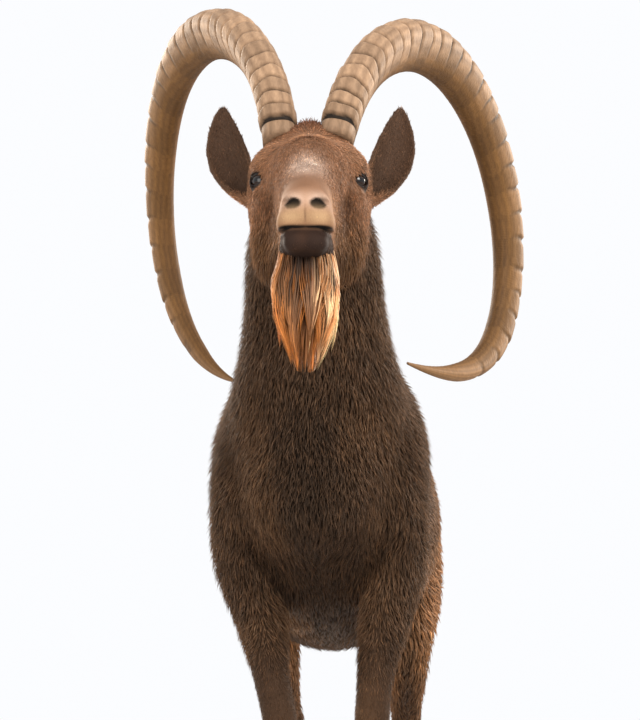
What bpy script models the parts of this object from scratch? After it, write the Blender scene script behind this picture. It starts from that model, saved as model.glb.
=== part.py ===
"""A life-size Siberian ibex buck, standing on four hooves with its head raised.

Metres, +Z up. The animal faces -Y and its left side is +X. The floor is Z = 0, and the
origin is the middle of its footprint box. The flesh is one soft blend of tapered muscles,
turned into a mesh once and parted into named pieces by thin cuts. The horns, ears, eyes,
beard and hooves are made on their own and seated on it.
"""

import math
import random

import bmesh
import bpy
import numpy as np
from mathutils import Matrix, Vector

# Driving sizes of the animal. Places are from the floor, or from the midpoint of the eyes.
EYE_LEVEL = 1.07
EYE_FORWARD = -0.42
CENTRING_SHIFT = -0.0785
EYEBALL_RADIUS = 0.0158
EYEBALL_PLACE = (0.0650, -0.0050, 0.0)
EYE_FACING = (0.66, -0.75, 0.04)
HEAD_YAW = math.radians(3.0)
YAW_PIVOT = 0.04
LID_THICKNESS = 0.0032
GAP = 0.0003
CUT = 0.0004

# How finely the flesh is sampled, and how many faces the solids keep
BODY_CELL = 0.0065
HEAD_CELL = 0.0021
BODY_FACES = 4000
HEAD_FACES = 3200

FAR = 1.0
LEFT = 1.0
RIGHT = -1.0


def clear_scene():
    for item in list(bpy.data.objects):
        bpy.data.objects.remove(item)


# Soft blending of muscles on a grid


class Grid:
    """A box of sample points that holds the distance to the flesh, negative inside."""

    def __init__(self, low, high, cell):
        self.low = np.array(low, float)
        self.cell = cell
        self.count = np.ceil((np.array(high) - self.low) / cell).astype(int) + 1
        self.field = np.full(self.count, FAR, np.float32)

    def window(self, low, high):
        """The part of the grid inside a box, as slices, with its sample points."""
        first = np.clip(np.floor((low - self.low) / self.cell).astype(int), 0, self.count)
        last = np.clip(np.ceil((high - self.low) / self.cell).astype(int) + 1, 0, self.count)
        if (last <= first).any():
            return None, None
        axes = [
            (self.low[i] + self.cell * np.arange(first[i], last[i])).astype(np.float32)
            for i in range(3)
        ]
        part = tuple(slice(a, b) for a, b in zip(first, last))
        return part, np.stack(np.meshgrid(*axes, indexing="ij"), -1)


def tapered_distance(points, start, end, size_start, size_end, side):
    """Distance to a limb with oval ends. A size is half its width and half its depth."""
    axis = end - start
    length = max(np.linalg.norm(axis), 1e-6)
    along = axis / length
    across = side - along * (side @ along)
    across = across / np.linalg.norm(across)
    deep = np.cross(along, across)
    offset = points - start.astype(np.float32)
    share = np.clip(offset @ along.astype(np.float32) / length, 0.0, 1.0)
    width = size_start[0] + (size_end[0] - size_start[0]) * share
    depth = size_start[1] + (size_end[1] - size_start[1]) * share
    middle = (width + depth) / 2
    rest = offset - share[..., None] * axis.astype(np.float32)
    sideways = rest @ across.astype(np.float32) / width
    deepways = rest @ deep.astype(np.float32) / depth
    lengthways = rest @ along.astype(np.float32) / middle
    reach = np.sqrt(sideways**2 + deepways**2 + lengthways**2)
    slope = np.sqrt(
        (sideways / width) ** 2 + (deepways / depth) ** 2 + (lengthways / middle) ** 2
    )
    core = -np.minimum(width, depth)
    return np.where(slope < 1e-3, core, reach * (reach - 1) / np.maximum(slope, 1e-3))


def soft_min(first, second, blend):
    share = np.clip(0.5 + 0.5 * (second - first) / blend, 0.0, 1.0)
    return second * (1 - share) + first * share - blend * share * (1 - share)


def add_mass(grid, mass):
    """Blend one mass of muscles into the flesh, or carve it out when it is a hollow."""
    muscles, blend, hollow = mass
    sizes = [max(*m[2], *m[3]) for m in muscles]
    low = np.min([np.minimum(m[0], m[1]) - s for m, s in zip(muscles, sizes)], 0)
    high = np.max([np.maximum(m[0], m[1]) + s for m, s in zip(muscles, sizes)], 0)
    margin = blend + 3 * grid.cell
    part, points = grid.window(low - margin, high + margin)
    if part is None:
        return
    nearest = np.full(points.shape[:3], FAR, np.float32)
    origin = points[0, 0, 0]
    for muscle, size in zip(muscles, sizes):
        reach = size + margin
        a = np.floor((np.minimum(muscle[0], muscle[1]) - reach - origin) / grid.cell)
        b = np.ceil((np.maximum(muscle[0], muscle[1]) + reach - origin) / grid.cell) + 1
        a = np.clip(a.astype(int), 0, None)
        b = np.clip(b.astype(int), 0, None)
        box = tuple(slice(i, j) for i, j in zip(a, b))
        if nearest[box].size:
            distance = tapered_distance(points[box], *muscle)
            nearest[box] = np.minimum(nearest[box], distance)
    if hollow:
        grid.field[part] = -soft_min(-grid.field[part], nearest, blend)
    else:
        grid.field[part] = soft_min(grid.field[part], nearest, blend)


def smooth_path(stations, steps=4):
    """Rows of numbers through the given rows, on a smooth curve."""
    rows = np.array(stations, float)
    fine = [rows[0]]
    for i in range(len(rows) - 1):
        before = rows[max(i - 1, 0)]
        after = rows[min(i + 2, len(rows) - 1)]
        for step in range(1, steps + 1):
            t = step / steps
            fine.append(
                0.5
                * (
                    2 * rows[i]
                    + (rows[i + 1] - before) * t
                    + (2 * before - 5 * rows[i] + 4 * rows[i + 1] - after) * t**2
                    + (3 * rows[i] - before - 3 * rows[i + 1] + after) * t**3
                )
            )
    return fine


def limb(stations, blend, hollow=False, steps=4):
    """One mass along stations of x, y, z, half width, half depth."""
    side = np.array([1.0, 0.0, 0.0])
    fine = smooth_path(stations, steps)
    muscles = [(a[:3], b[:3], a[3:], b[3:], side) for a, b in zip(fine, fine[1:])]
    return muscles, blend, hollow


def egg(x, y, z, width, depth, height, blend, hollow=False):
    """One rounded mass with its half sizes along X, Y and Z."""
    reach = max(depth - (width + height) / 2, 0.0004)
    start = np.array([x, y - reach, z])
    end = np.array([x, y + reach, z])
    size = np.array([width, height])
    return [(start, end, size, size, np.array([1.0, 0.0, 0.0]))], blend, hollow


def mirrored(mass):
    """The same mass on the other side."""
    muscles, blend, hollow = mass
    turn = np.array([-1.0, 1.0, 1.0])
    return [(a * turn, b * turn, p, q, side) for a, b, p, q, side in muscles], blend, hollow


def in_pairs(masses):
    return [m for mass in masses for m in (mass, mirrored(mass))]


# The animal's masses


def head_masses():
    """Skull, muzzle, jaw and brows, from the midpoint of the eyes."""
    centre = [
        limb(
            [
                (0, 0.075, 0.018, 0.056, 0.056),
                (0, 0.030, 0.020, 0.066, 0.062),
                (0, -0.025, 0.004, 0.062, 0.056),
                (0, -0.080, -0.033, 0.045, 0.047),
                (0, -0.130, -0.064, 0.037, 0.040),
                (0, -0.164, -0.083, 0.0375, 0.036),
                (0, -0.172, -0.090, 0.034, 0.031),
            ],
            0.02,
        ),
        limb(
            [
                (0, 0.060, -0.070, 0.062, 0.052),
                (0, 0.000, -0.094, 0.056, 0.046),
                (0, -0.060, -0.108, 0.040, 0.034),
                (0, -0.115, -0.119, 0.031, 0.027),
                (0, -0.150, -0.124, 0.028, 0.020),
            ],
            0.022,
        ),
        limb(
            [
                (0, 0.040, -0.040, 0.066, 0.060),
                (0, -0.040, -0.062, 0.050, 0.050),
                (0, -0.105, -0.088, 0.0375, 0.038),
                (0, -0.150, -0.102, 0.033, 0.030),
            ],
            0.02,
        ),
        egg(0, 0.034, 0.060, 0.060, 0.046, 0.032, 0.03),
        egg(0, -0.045, 0.012, 0.032, 0.050, 0.030, 0.03),
        egg(0, -0.110, -0.128, 0.034, 0.046, 0.026, 0.02),
    ]
    sides = [
        egg(0.050, 0.045, -0.060, 0.032, 0.052, 0.066, 0.03),
        egg(0.055, 0.014, 0.026, 0.027, 0.040, 0.021, 0.03),
        egg(0.053, 0.010, -0.027, 0.021, 0.045, 0.017, 0.03),
        egg(0.060, 0.056, 0.006, 0.027, 0.032, 0.040, 0.03),
        egg(0.042, 0.027, 0.068, 0.031, 0.043, 0.022, 0.022),
    ]
    return centre + in_pairs(sides)


def face_masses():
    """The small forms of the face: the rings of lid, the lips and the wings of the nose."""
    x, y, z = EYEBALL_PLACE
    reach = EYEBALL_RADIUS + LID_THICKNESS
    return in_pairs(
        [
            egg(x, y, z, reach, reach, reach, 0.006),
            egg(0.062, 0.000, 0.0205, 0.016, 0.020, 0.0065, 0.010),
            egg(0.060, -0.004, -0.0205, 0.015, 0.018, 0.0055, 0.010),
            egg(0.022, -0.166, -0.104, 0.0165, 0.026, 0.0165, 0.010),
            egg(0.017, -0.183, -0.080, 0.0135, 0.014, 0.0135, 0.008),
            egg(0.013, -0.163, -0.130, 0.0160, 0.018, 0.0130, 0.008),
        ]
    )


def head_hollows():
    """The line of the mouth, the groove under the nose and the nostrils."""
    mouth = [
        (0, -0.2040, -0.1135, 0.0050, 0.0028),
        (0.012, -0.2000, -0.1145, 0.0050, 0.0028),
        (0.025, -0.1830, -0.1165, 0.0050, 0.0028),
        (0.0345, -0.1580, -0.1150, 0.0050, 0.0028),
        (0.0385, -0.1280, -0.1080, 0.0040, 0.0024),
    ]
    nostril = [
        (0.0085, -0.2060, -0.0890, 0.0044, 0.0044),
        (0.0145, -0.2030, -0.0840, 0.0070, 0.0064),
        (0.0215, -0.1970, -0.0800, 0.0060, 0.0052),
        (0.0275, -0.1880, -0.0800, 0.0036, 0.0034),
    ]
    cleft = limb(
        [(0, -0.2075, -0.094, 0.0024, 0.0026), (0, -0.2060, -0.111, 0.0024, 0.0026)], 0.003, True
    )
    pairs = in_pairs([limb(mouth, 0.003, True), limb(nostril, 0.003, True)])
    return pairs + [cleft]


def body_masses():
    """Neck, trunk and rump, from the floor."""
    centre = [
        limb(
            [
                (0, -0.20, 0.690, 0.105, 0.120),
                (0, -0.10, 0.706, 0.135, 0.172),
                (0, 0.02, 0.692, 0.150, 0.203),
                (0, 0.16, 0.682, 0.168, 0.208),
                (0, 0.30, 0.688, 0.172, 0.198),
                (0, 0.42, 0.712, 0.160, 0.170),
                (0, 0.52, 0.740, 0.140, 0.138),
                (0, 0.60, 0.748, 0.112, 0.115),
            ],
            0.03,
        ),
        limb(
            [
                (0, -0.325, 1.060, 0.078, 0.070),
                (0, -0.300, 1.000, 0.098, 0.088),
                (0, -0.262, 0.930, 0.104, 0.108),
                (0, -0.216, 0.860, 0.114, 0.132),
                (0, -0.162, 0.790, 0.134, 0.154),
                (0, -0.110, 0.730, 0.144, 0.165),
            ],
            0.03,
        ),
        egg(0, -0.04, 0.862, 0.055, 0.120, 0.045, 0.05),
        egg(0, -0.205, 0.665, 0.085, 0.075, 0.080, 0.04),
        egg(0, 0.505, 0.585, 0.036, 0.036, 0.060, 0.03),
    ]
    sides = [
        egg(0.085, 0.54, 0.785, 0.055, 0.090, 0.050, 0.06),
        egg(0.072, 0.610, 0.690, 0.056, 0.090, 0.100, 0.07),
    ]
    return centre + in_pairs(sides)


# Where each leg's hoof stands: outwards from the middle, and along the body
FOREFEET = {"left": (0.074, -0.125), "right": (0.050, -0.155)}
HINDFEET = {"left": (0.100, 0.575), "right": (0.088, 0.540)}


def foreleg_mass(side, foot):
    out, along = foot
    knee = out + 0.004
    rows = [
        (0.080, 0.005, 0.855, 0.032, 0.075),
        (0.110, -0.060, 0.770, 0.046, 0.092),
        (0.121, -0.122, 0.675, 0.044, 0.076),
        (0.116, -0.085, 0.580, 0.046, 0.066),
        (0.098 if side > 0 else 0.090, -0.075, 0.500, 0.040, 0.054),
        ((knee + 0.092) / 2, along * 0.4 - 0.045, 0.420, 0.030, 0.040),
        (knee, along + 0.030, 0.335, 0.030, 0.035),
        (knee, along + 0.028, 0.300, 0.029, 0.033),
        (out, along + 0.040, 0.240, 0.0225, 0.0265),
        (out, along + 0.046, 0.160, 0.0215, 0.0245),
        (out, along + 0.042, 0.112, 0.0265, 0.029),
        (out, along + 0.022, 0.074, 0.0255, 0.026),
        (out, along + 0.006, 0.036, 0.027, 0.030),
    ]
    return limb([(side * r[0], *r[1:]) for r in rows], 0.028)


def hindleg_masses(side, foot):
    out, along = foot
    rows = [
        (0.082, 0.490, 0.775, 0.060, 0.115),
        (0.108, 0.485, 0.680, 0.060, 0.140),
        (0.118, 0.450, 0.590, 0.052, 0.108),
        (0.112, along * 0.3 + 0.310, 0.500, 0.038, 0.068),
        (0.106, along * 0.8 + 0.110, 0.420, 0.028, 0.044),
        (out + 0.004, along + 0.062, 0.355, 0.027, 0.040),
        (out + 0.002, along + 0.064, 0.310, 0.025, 0.033),
        (out, along + 0.055, 0.240, 0.0215, 0.0265),
        (out, along + 0.046, 0.160, 0.0210, 0.0245),
        (out, along + 0.042, 0.112, 0.0265, 0.029),
        (out, along + 0.022, 0.074, 0.0255, 0.026),
        (out, along + 0.006, 0.036, 0.027, 0.030),
    ]
    leg = limb([(side * r[0], *r[1:]) for r in rows], 0.028)
    heel = egg(side * (out + 0.003), along + 0.094, 0.372, 0.014, 0.018, 0.024, 0.02)
    return [leg, heel]


def dewclaw_masses(side, foot):
    """The two small claws behind each fetlock."""
    out, along = foot
    return [
        egg(side * out + turn * 0.014, along + 0.062, 0.088, 0.0105, 0.012, 0.016, 0.006)
        for turn in (-1, 1)
    ]


def tail_mass():
    return limb(
        [
            (0, 0.660, 0.824, 0.028, 0.024),
            (0, 0.714, 0.824, 0.024, 0.020),
            (0, 0.752, 0.803, 0.025, 0.019),
            (0, 0.769, 0.757, 0.021, 0.016),
            (0, 0.771, 0.715, 0.011, 0.010),
        ],
        0.012,
    )


def soften(grid, passes):
    """Smooth the flesh a little, so no ring is left where two muscles meet."""
    limit = 6 * grid.cell
    field = np.clip(grid.field, -limit, limit)
    for _ in range(passes):
        for axis in range(3):
            before = np.roll(field, 1, axis)
            after = np.roll(field, -1, axis)
            field = 0.5 * field + 0.25 * (before + after)
    grid.field = field


def head_place(point):
    """From the head's own axes to the world: turned a little to the left, then set in place."""
    x, y, z = point
    y = y - YAW_PIVOT
    c, s = math.cos(HEAD_YAW), math.sin(HEAD_YAW)
    spot = (x * c - y * s, x * s + y * c + YAW_PIVOT + EYE_FORWARD, z + EYE_LEVEL)
    return np.array(spot)


def to_world(mass):
    """A mass given from the eyes, set where the eyes are."""
    muscles, blend, hollow = mass
    made = [
        (head_place(a), head_place(b), p, q, head_place(side) - head_place((0, 0, 0)))
        for a, b, p, q, side in muscles
    ]
    return made, blend, hollow


def large_masses():
    masses = body_masses()
    masses.append(tail_mass())
    for name, side in (("left", LEFT), ("right", RIGHT)):
        masses.append(foreleg_mass(side, FOREFEET[name]))
        masses.extend(hindleg_masses(side, HINDFEET[name]))
    masses.extend(to_world(m) for m in head_masses())
    return masses


def body_grid():
    grid = Grid((-0.26, -0.70, -0.02), (0.26, 0.86, 1.20), BODY_CELL)
    for mass in large_masses():
        add_mass(grid, mass)
    soften(grid, 4)
    for name, side in (("left", LEFT), ("right", RIGHT)):
        for mass in dewclaw_masses(side, FOREFEET[name]) + dewclaw_masses(side, HINDFEET[name]):
            add_mass(grid, mass)
    return grid


def head_grid():
    grid = Grid((-0.13, -0.66, 0.88), (0.13, -0.26, 1.20), HEAD_CELL)
    for mass in large_masses():
        add_mass(grid, mass)
    soften(grid, 10)
    for mass in face_masses() + head_hollows():
        add_mass(grid, to_world(mass))
    return grid


# From the field to a mesh


def surface_of(grid):
    """One point in every cell the surface crosses, joined to its neighbours."""
    field = grid.field
    inside = field < 0
    corners = [(i, j, k) for i in (0, 1) for j in (0, 1) for k in (0, 1)]
    size = [n - 1 for n in field.shape]
    total = np.zeros(size, np.int8)
    for i, j, k in corners:
        total += inside[i : i + size[0], j : j + size[1], k : k + size[2]]
    active = (total > 0) & (total < 8)
    number = np.full(size, -1, np.int64)
    number[active] = np.arange(active.sum())
    cells = np.argwhere(active)
    place = np.zeros(cells.shape)
    crossings = np.zeros(len(cells))
    for a in corners:
        for axis in range(3):
            if a[axis]:
                continue
            b = tuple(c + (n == axis) for n, c in enumerate(a))
            first = field[tuple((cells + a).T)]
            second = field[tuple((cells + b).T)]
            cross = (first < 0) != (second < 0)
            gap = np.where(cross, first - second, 1.0)
            share = np.where(cross, first / gap, 0.0)[:, None]
            spot = np.array(a) + share * (np.array(b) - np.array(a))
            place += spot * cross[:, None]
            crossings += cross
    points = grid.low + (cells + place / crossings[:, None]) * grid.cell
    faces = []
    for axis in range(3):
        u, v = (axis + 1) % 3, (axis + 2) % 3
        low = [slice(1, -1)] * 3
        low[axis] = slice(0, -1)
        high = list(low)
        high[axis] = slice(1, None)
        start, end = inside[tuple(low)], inside[tuple(high)]
        spots = np.argwhere(start != end)
        flip = end[tuple(spots.T)]
        offset = np.ones(3, int)
        offset[axis] = 0
        spots = spots + offset
        ring = []
        for du, dv in ((0, 0), (-1, 0), (-1, -1), (0, -1)):
            shift = np.zeros(3, int)
            shift[u] = du
            shift[v] = dv
            ring.append(number[tuple((spots + shift).T)])
        quad = np.stack(ring, 1)
        quad[flip] = quad[flip][:, ::-1]
        faces.append(quad)
    return points, np.concatenate(faces)


# Meshes and cuts


def mesh_object(name, points, faces):
    mesh = bpy.data.meshes.new(name)
    mesh.from_pydata([tuple(p) for p in points], [], [tuple(f) for f in faces])
    mesh.update()
    item = bpy.data.objects.new(name, mesh)
    bpy.context.collection.objects.link(item)
    return item


def apply_modifiers(item):
    graph = bpy.context.evaluated_depsgraph_get()
    mesh = bpy.data.meshes.new_from_object(item.evaluated_get(graph))
    item.modifiers.clear()
    item.data = mesh


def mend(item):
    """Open the few edges that more than two faces share, and close the holes again."""
    for _ in range(4):
        shape = bmesh.new()
        shape.from_mesh(item.data)
        bmesh.ops.dissolve_degenerate(shape, edges=shape.edges, dist=0.00001)
        poor = {v for e in shape.edges if len(e.link_faces) != 2 for v in e.verts}
        poor |= {v for v in shape.verts if not v.is_manifold}
        if poor:
            bmesh.ops.delete(shape, geom=list(poor), context="VERTS")
            rims = [e for e in shape.edges if e.is_boundary]
            bmesh.ops.holes_fill(shape, edges=rims, sides=0)
            bmesh.ops.triangulate(shape, faces=[f for f in shape.faces if len(f.verts) > 4])
        shape.to_mesh(item.data)
        shape.free()
        if not poor:
            break
    turn_outward(item)


def fewer_faces(item, count):
    """Collapse edges until about this many triangles are left."""
    triangles = sum(len(p.vertices) - 2 for p in item.data.polygons)
    modifier = item.modifiers.new("Fewer", "DECIMATE")
    modifier.ratio = min(1.0, count / triangles)
    apply_modifiers(item)


def combine(item, others, operation):
    """Join or cut a solid with a list of others, in one exact step."""
    group = bpy.data.collections.new("Tools")
    bpy.context.scene.collection.children.link(group)
    for other in others:
        bpy.context.collection.objects.unlink(other)
        group.objects.link(other)
    modifier = item.modifiers.new("Join", "BOOLEAN")
    modifier.operation = operation
    modifier.operand_type = "COLLECTION"
    modifier.collection = group
    modifier.solver = "EXACT"
    apply_modifiers(item)
    for other in list(group.objects):
        bpy.data.objects.remove(other)
    bpy.data.collections.remove(group)


def loose_pieces(item):
    """Every closed shell of a mesh as its own bmesh, with its middle and its volume."""
    whole = bmesh.new()
    whole.from_mesh(item.data)
    bmesh.ops.remove_doubles(whole, verts=whole.verts, dist=0.000001)
    whole.verts.ensure_lookup_table()
    seen = set()
    pieces = []
    for start in whole.verts:
        if start.index in seen:
            continue
        group, stack = [], [start]
        seen.add(start.index)
        while stack:
            vertex = stack.pop()
            group.append(vertex)
            for edge in vertex.link_edges:
                other = edge.other_vert(vertex)
                if other.index not in seen:
                    seen.add(other.index)
                    stack.append(other)
        number = {v.index: i for i, v in enumerate(group)}
        faces = {f for v in group for f in v.link_faces}
        piece = bmesh.new()
        spots = [piece.verts.new(v.co) for v in group]
        for face in faces:
            ring = [spots[number[v.index]] for v in face.verts]
            if piece.faces.get(ring) is None:
                piece.faces.new(ring)
        piece.normal_update()
        volume = piece.calc_volume(signed=True)
        middle = sum((v.co for v in group), Vector()) / len(group)
        pieces.append((piece, middle, volume))
    whole.free()
    return pieces


def keep_largest(item):
    pieces = loose_pieces(item)
    pieces.sort(key=lambda p: -abs(p[2]))
    pieces[0][0].to_mesh(item.data)
    for piece in pieces:
        piece[0].free()


def slab(centre, normal, half_wide, half_tall, thick=CUT):
    """A thin box across a limb that parts it in two. Wide is along X."""
    normal = Vector(normal).normalized()
    wide = Vector((1, 0, 0))
    if abs(normal.x) > 0.5:
        wide = Vector((0, 1, 0))
    wide = (wide - normal * wide.dot(normal)).normalized()
    tall = normal.cross(wide)
    centre = Vector(centre)
    corners = []
    for k in (-0.5, 0.5):
        for i, j in ((-1, -1), (1, -1), (1, 1), (-1, 1)):
            spot = centre + normal * thick * k + wide * half_wide * i + tall * half_tall * j
            corners.append(spot)
    faces = [(0, 3, 2, 1), (4, 5, 6, 7), (0, 1, 5, 4), (1, 2, 6, 5), (2, 3, 7, 6), (3, 0, 4, 7)]
    item = mesh_object("slab", corners, faces)
    turn_outward(item)
    return item


def turn_outward(item):
    shape = bmesh.new()
    shape.from_mesh(item.data)
    bmesh.ops.recalc_face_normals(shape, faces=shape.faces)
    if shape.calc_volume(signed=True) < 0:
        bmesh.ops.reverse_faces(shape, faces=shape.faces)
    shape.to_mesh(item.data)
    shape.free()


def ring_solid(name, rings):
    """A closed skin over rings of points, each ring with the same number of points."""
    count = len(rings[0])
    points = [p for ring in rings for p in ring]
    faces = []
    for r in range(len(rings) - 1):
        for i in range(count):
            j = (i + 1) % count
            a, b = r * count, (r + 1) * count
            faces.append((a + i, a + j, b + j))
            faces.append((a + i, b + j, b + i))
    faces.append(tuple(range(count))[::-1])
    faces.append(tuple((len(rings) - 1) * count + i for i in range(count)))
    item = mesh_object(name, points, faces)
    turn_outward(item)
    return item


# Horns

HORN_LENGTH = 1.15
# The curve is laid out for that length, and the tip runs on past it by this share
HORN_REACH = 1.035
HORN_STEPS = 230
HORN_BACK = 0.030
HORN_SINK = 0.024
HORN_RIDGES = 26
# For each horn: place of its base, first tilt, bend per metre and lean outwards, in degrees
HORNS = {
    "right": (-0.043, 0.082, 76.1, (170, 180, 226), (6.4, 26.0, 2.4, -36.5)),
    "left": (0.042, 0.084, 78.4, (224, 200, 285), (11.6, 24.3, 1.8, -43.0)),
}
HORN_SHARES = (0.0, 0.2, 0.4, 0.6, 0.8, 0.94, 1.035)
HORN_HALF_WIDTHS = (0.0295, 0.0295, 0.0285, 0.0250, 0.0200, 0.0140, 0.0050)
HORN_HALF_DEPTHS = (0.0415, 0.0405, 0.0375, 0.0320, 0.0250, 0.0165, 0.0060)


def horn_line(name, steps=HORN_STEPS):
    """Points along a horn from its base to its tip, with its direction and its front."""
    out, up, tilt, bends, leans = HORNS[name]
    side = math.copysign(1.0, out)
    place = np.array([out, EYE_FORWARD + HORN_BACK, EYE_LEVEL + up])
    lean_shape = np.polyfit((0, 1 / 3, 2 / 3, 1), leans, 3)
    line = []
    angle = tilt
    for i in range(int(steps * HORN_REACH) + 1):
        share = i / steps
        if i:
            bend = np.interp(share - 0.5 / steps, (0, 0.5, 1), bends)
            angle -= bend * HORN_LENGTH / steps
        lean = math.radians(np.polyval(lean_shape, share))
        turn = math.radians(angle)
        along = np.array(
            [
                side * math.sin(lean),
                math.cos(lean) * math.cos(turn),
                math.cos(lean) * math.sin(turn),
            ]
        )
        front = np.array([0.0, -math.sin(turn), math.cos(turn)])
        across = np.cross(along, front)
        twist = math.radians(38) * side * min(1.0, share / 0.6)
        front = front * math.cos(twist) + across * math.sin(twist)
        if i:
            place = place + along * HORN_LENGTH / steps
        line.append((share, place, along, front))
    return line


def horn_section(place, along, front, width, depth, lift, extra=0.0, count=10):
    """An oval with a broad, flat front, where a ridge lifts the front and the sides."""
    front = front - along * (front @ along)
    front = front / np.linalg.norm(front)
    across = np.cross(along, front)
    ring = []
    for i in range(count):
        angle = 2 * math.pi * (i + 0.5) / count
        c, s = math.cos(angle), math.sin(angle)
        x = math.copysign(abs(c) ** 0.82, c)
        y = math.copysign(abs(s) ** 0.82, s)
        narrow = 1.0 - 0.20 * (1 - y) / 2
        ridge = lift * min(1.0, max(0.0, (y + 0.35) / 0.9))
        w = (width + extra + ridge * 0.7) * narrow
        d = depth + extra + ridge
        ring.append(place + across * x * w + front * y * d)
    return ring


def horn_rings(name, extra=0.0, whole=True):
    line = horn_line(name)
    shares = [-HORN_SINK / HORN_LENGTH, -0.004]
    lifts = [0.0, 0.0]
    for ridge in range(HORN_RIDGES):
        start = 0.004 + 0.92 * ridge / HORN_RIDGES
        size = 0.0062 * (1.0 - 0.55 * ridge / HORN_RIDGES)
        for inner, height in ((0.05, 0.0), (0.45, 0.8), (0.80, 1.0)):
            shares.append(start + inner * 0.92 / HORN_RIDGES)
            lifts.append(size * height)
    shares += [0.945, 0.99, HORN_REACH]
    lifts += [0.0, 0.0, 0.0]
    rings = []
    for share, lift in zip(shares, lifts):
        if not whole and share > 0.06:
            break
        if share < 0:
            _, base, along, front = line[0]
            place = base + along * share * HORN_LENGTH
        else:
            step = min(int(round(share * HORN_STEPS)), len(line) - 1)
            _, place, along, front = line[step]
            exact = share * HORN_STEPS - step
            place = place + along * exact * HORN_LENGTH / HORN_STEPS
        width = np.interp(share, HORN_SHARES, HORN_HALF_WIDTHS)
        depth = np.interp(share, HORN_SHARES, HORN_HALF_DEPTHS)
        rings.append(horn_section(place, along, front, width, depth, lift, extra))
    if not whole:
        _, base, along, front = line[0]
        rings[0] = [p - along * GAP for p in rings[0]]
    return rings


# Ears

EAR_ROOT = (0.068, 0.074, -0.008)
EAR_BEND = (0.122, 0.088, 0.034)
EAR_TIP = (0.130, 0.100, 0.140)
EAR_OPENING = (0.30, -0.95, 0.10)
EAR_SHARES = (0.0, 0.15, 0.30, 0.50, 0.68, 0.84, 0.95, 1.0)
EAR_HALF_WIDTHS = (0.015, 0.019, 0.0245, 0.0285, 0.0265, 0.0185, 0.0095, 0.0030)
EAR_CURLS = (150, 130, 100, 76, 62, 52, 45, 40)
EAR_THICKNESS = 0.0042
EAR_CLEARANCE = 1.004


def ear_object(side):
    """A leaf-shaped shell, rolled at its root and open to the front."""
    root, bend, tip, opening = (
        Vector((side * p[0], p[1], p[2])) for p in (EAR_ROOT, EAR_BEND, EAR_TIP, EAR_OPENING)
    )
    rows, columns = 10, 8
    inner, outer = [], []
    for r in range(rows + 1):
        u = r / rows
        spot = root * (1 - u) ** 2 + bend * 2 * u * (1 - u) + tip * u * u
        along = ((bend - root) * (1 - u) + (tip - bend) * u).normalized()
        face = (opening - along * opening.dot(along)).normalized()
        across = along.cross(face)
        half = np.interp(u, EAR_SHARES, EAR_HALF_WIDTHS)
        curl = math.radians(np.interp(u, EAR_SHARES, EAR_CURLS))
        radius = half / math.sin(min(curl, math.pi / 2))
        for c in range(columns + 1):
            v = -1 + 2 * c / columns
            angle = v * curl
            sideways = across * math.sin(angle) - face * math.cos(angle)
            thick = EAR_THICKNESS * (1 - 0.55 * v * v) * (1 - 0.5 * u)
            hub = spot + face * radius
            inner.append(head_place(hub + sideways * radius))
            outer.append(head_place(hub + sideways * (radius + thick)))
    width = columns + 1
    faces = []
    shift = len(inner)
    for r in range(rows):
        for c in range(columns):
            a = r * width + c
            faces.append((a, a + 1, a + 1 + width, a + width))
            b = a + shift
            faces.append((b, b + width, b + 1 + width, b + 1))
    for r in range(rows):
        a = r * width
        faces.append((a, a + width, a + width + shift, a + shift))
        b = a + columns
        faces.append((b, b + shift, b + width + shift, b + width))
    for c in range(columns):
        faces.append((c, c + shift, c + 1 + shift, c + 1))
        b = rows * width + c
        faces.append((b, b + 1, b + 1 + shift, b + shift))
    item = mesh_object("ear", inner + outer, faces)
    turn_outward(item)
    return item


def fitted_ear(head, side):
    """An ear whose root is trimmed to the head's own surface, a hair's breadth away."""
    ear = ear_object(side)
    middle = Vector(head_place((0, 0.05, 0)))
    swollen = bpy.data.objects.new("swollen", head.data.copy())
    bpy.context.collection.objects.link(swollen)
    grow = Matrix.Translation(middle) @ Matrix.Scale(EAR_CLEARANCE, 4) @ Matrix.Translation(-middle)
    swollen.data.transform(grow)
    combine(ear, [swollen], "DIFFERENCE")
    keep_largest(ear)
    turn_outward(ear)
    return ear


# Eyes


def ball(centre, radius, fineness=3):
    shape = bmesh.new()
    bmesh.ops.create_icosphere(shape, subdivisions=fineness, radius=radius)
    bmesh.ops.translate(shape, verts=shape.verts, vec=centre)
    mesh = bpy.data.meshes.new("ball")
    shape.to_mesh(mesh)
    shape.free()
    item = bpy.data.objects.new("ball", mesh)
    bpy.context.collection.objects.link(item)
    return item


def eye_place(side):
    x, y, z = EYEBALL_PLACE
    return Vector(head_place((side * x, y, z)))


LID_HALF_LENGTH = 0.0132
LID_HALF_HEIGHT = 0.0092


def lid_opening(side):
    """An almond-shaped wedge from inside the eyeball outwards, to open the lids."""
    facing = Vector((side * EYE_FACING[0], EYE_FACING[1], EYE_FACING[2]))
    facing = Vector(head_place(facing) - head_place((0, 0, 0))).normalized()
    across = facing.cross(Vector((0, 0, 1))).normalized()
    up = across.cross(facing)
    if across.y > 0:
        across = -across
    centre = eye_place(side)
    rings = []
    for reach, scale in ((0.007, 0.80), (0.032, 1.35)):
        ring = []
        for i in range(14):
            angle = 2 * math.pi * i / 14
            c, s = math.cos(angle), math.sin(angle)
            long = LID_HALF_LENGTH * c
            high = LID_HALF_HEIGHT * s * (1 - 0.35 * c * c)
            high -= 0.0022 * c
            ring.append(centre + facing * reach + (across * long + up * high) * scale)
        rings.append(ring)
    return ring_solid("opening", rings)


# Hooves

HOOF_FRONT = 0.052
HOOF_BACK = 0.030
HOOF_SLOPE = (HOOF_FRONT - HOOF_BACK) / 0.058


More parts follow.
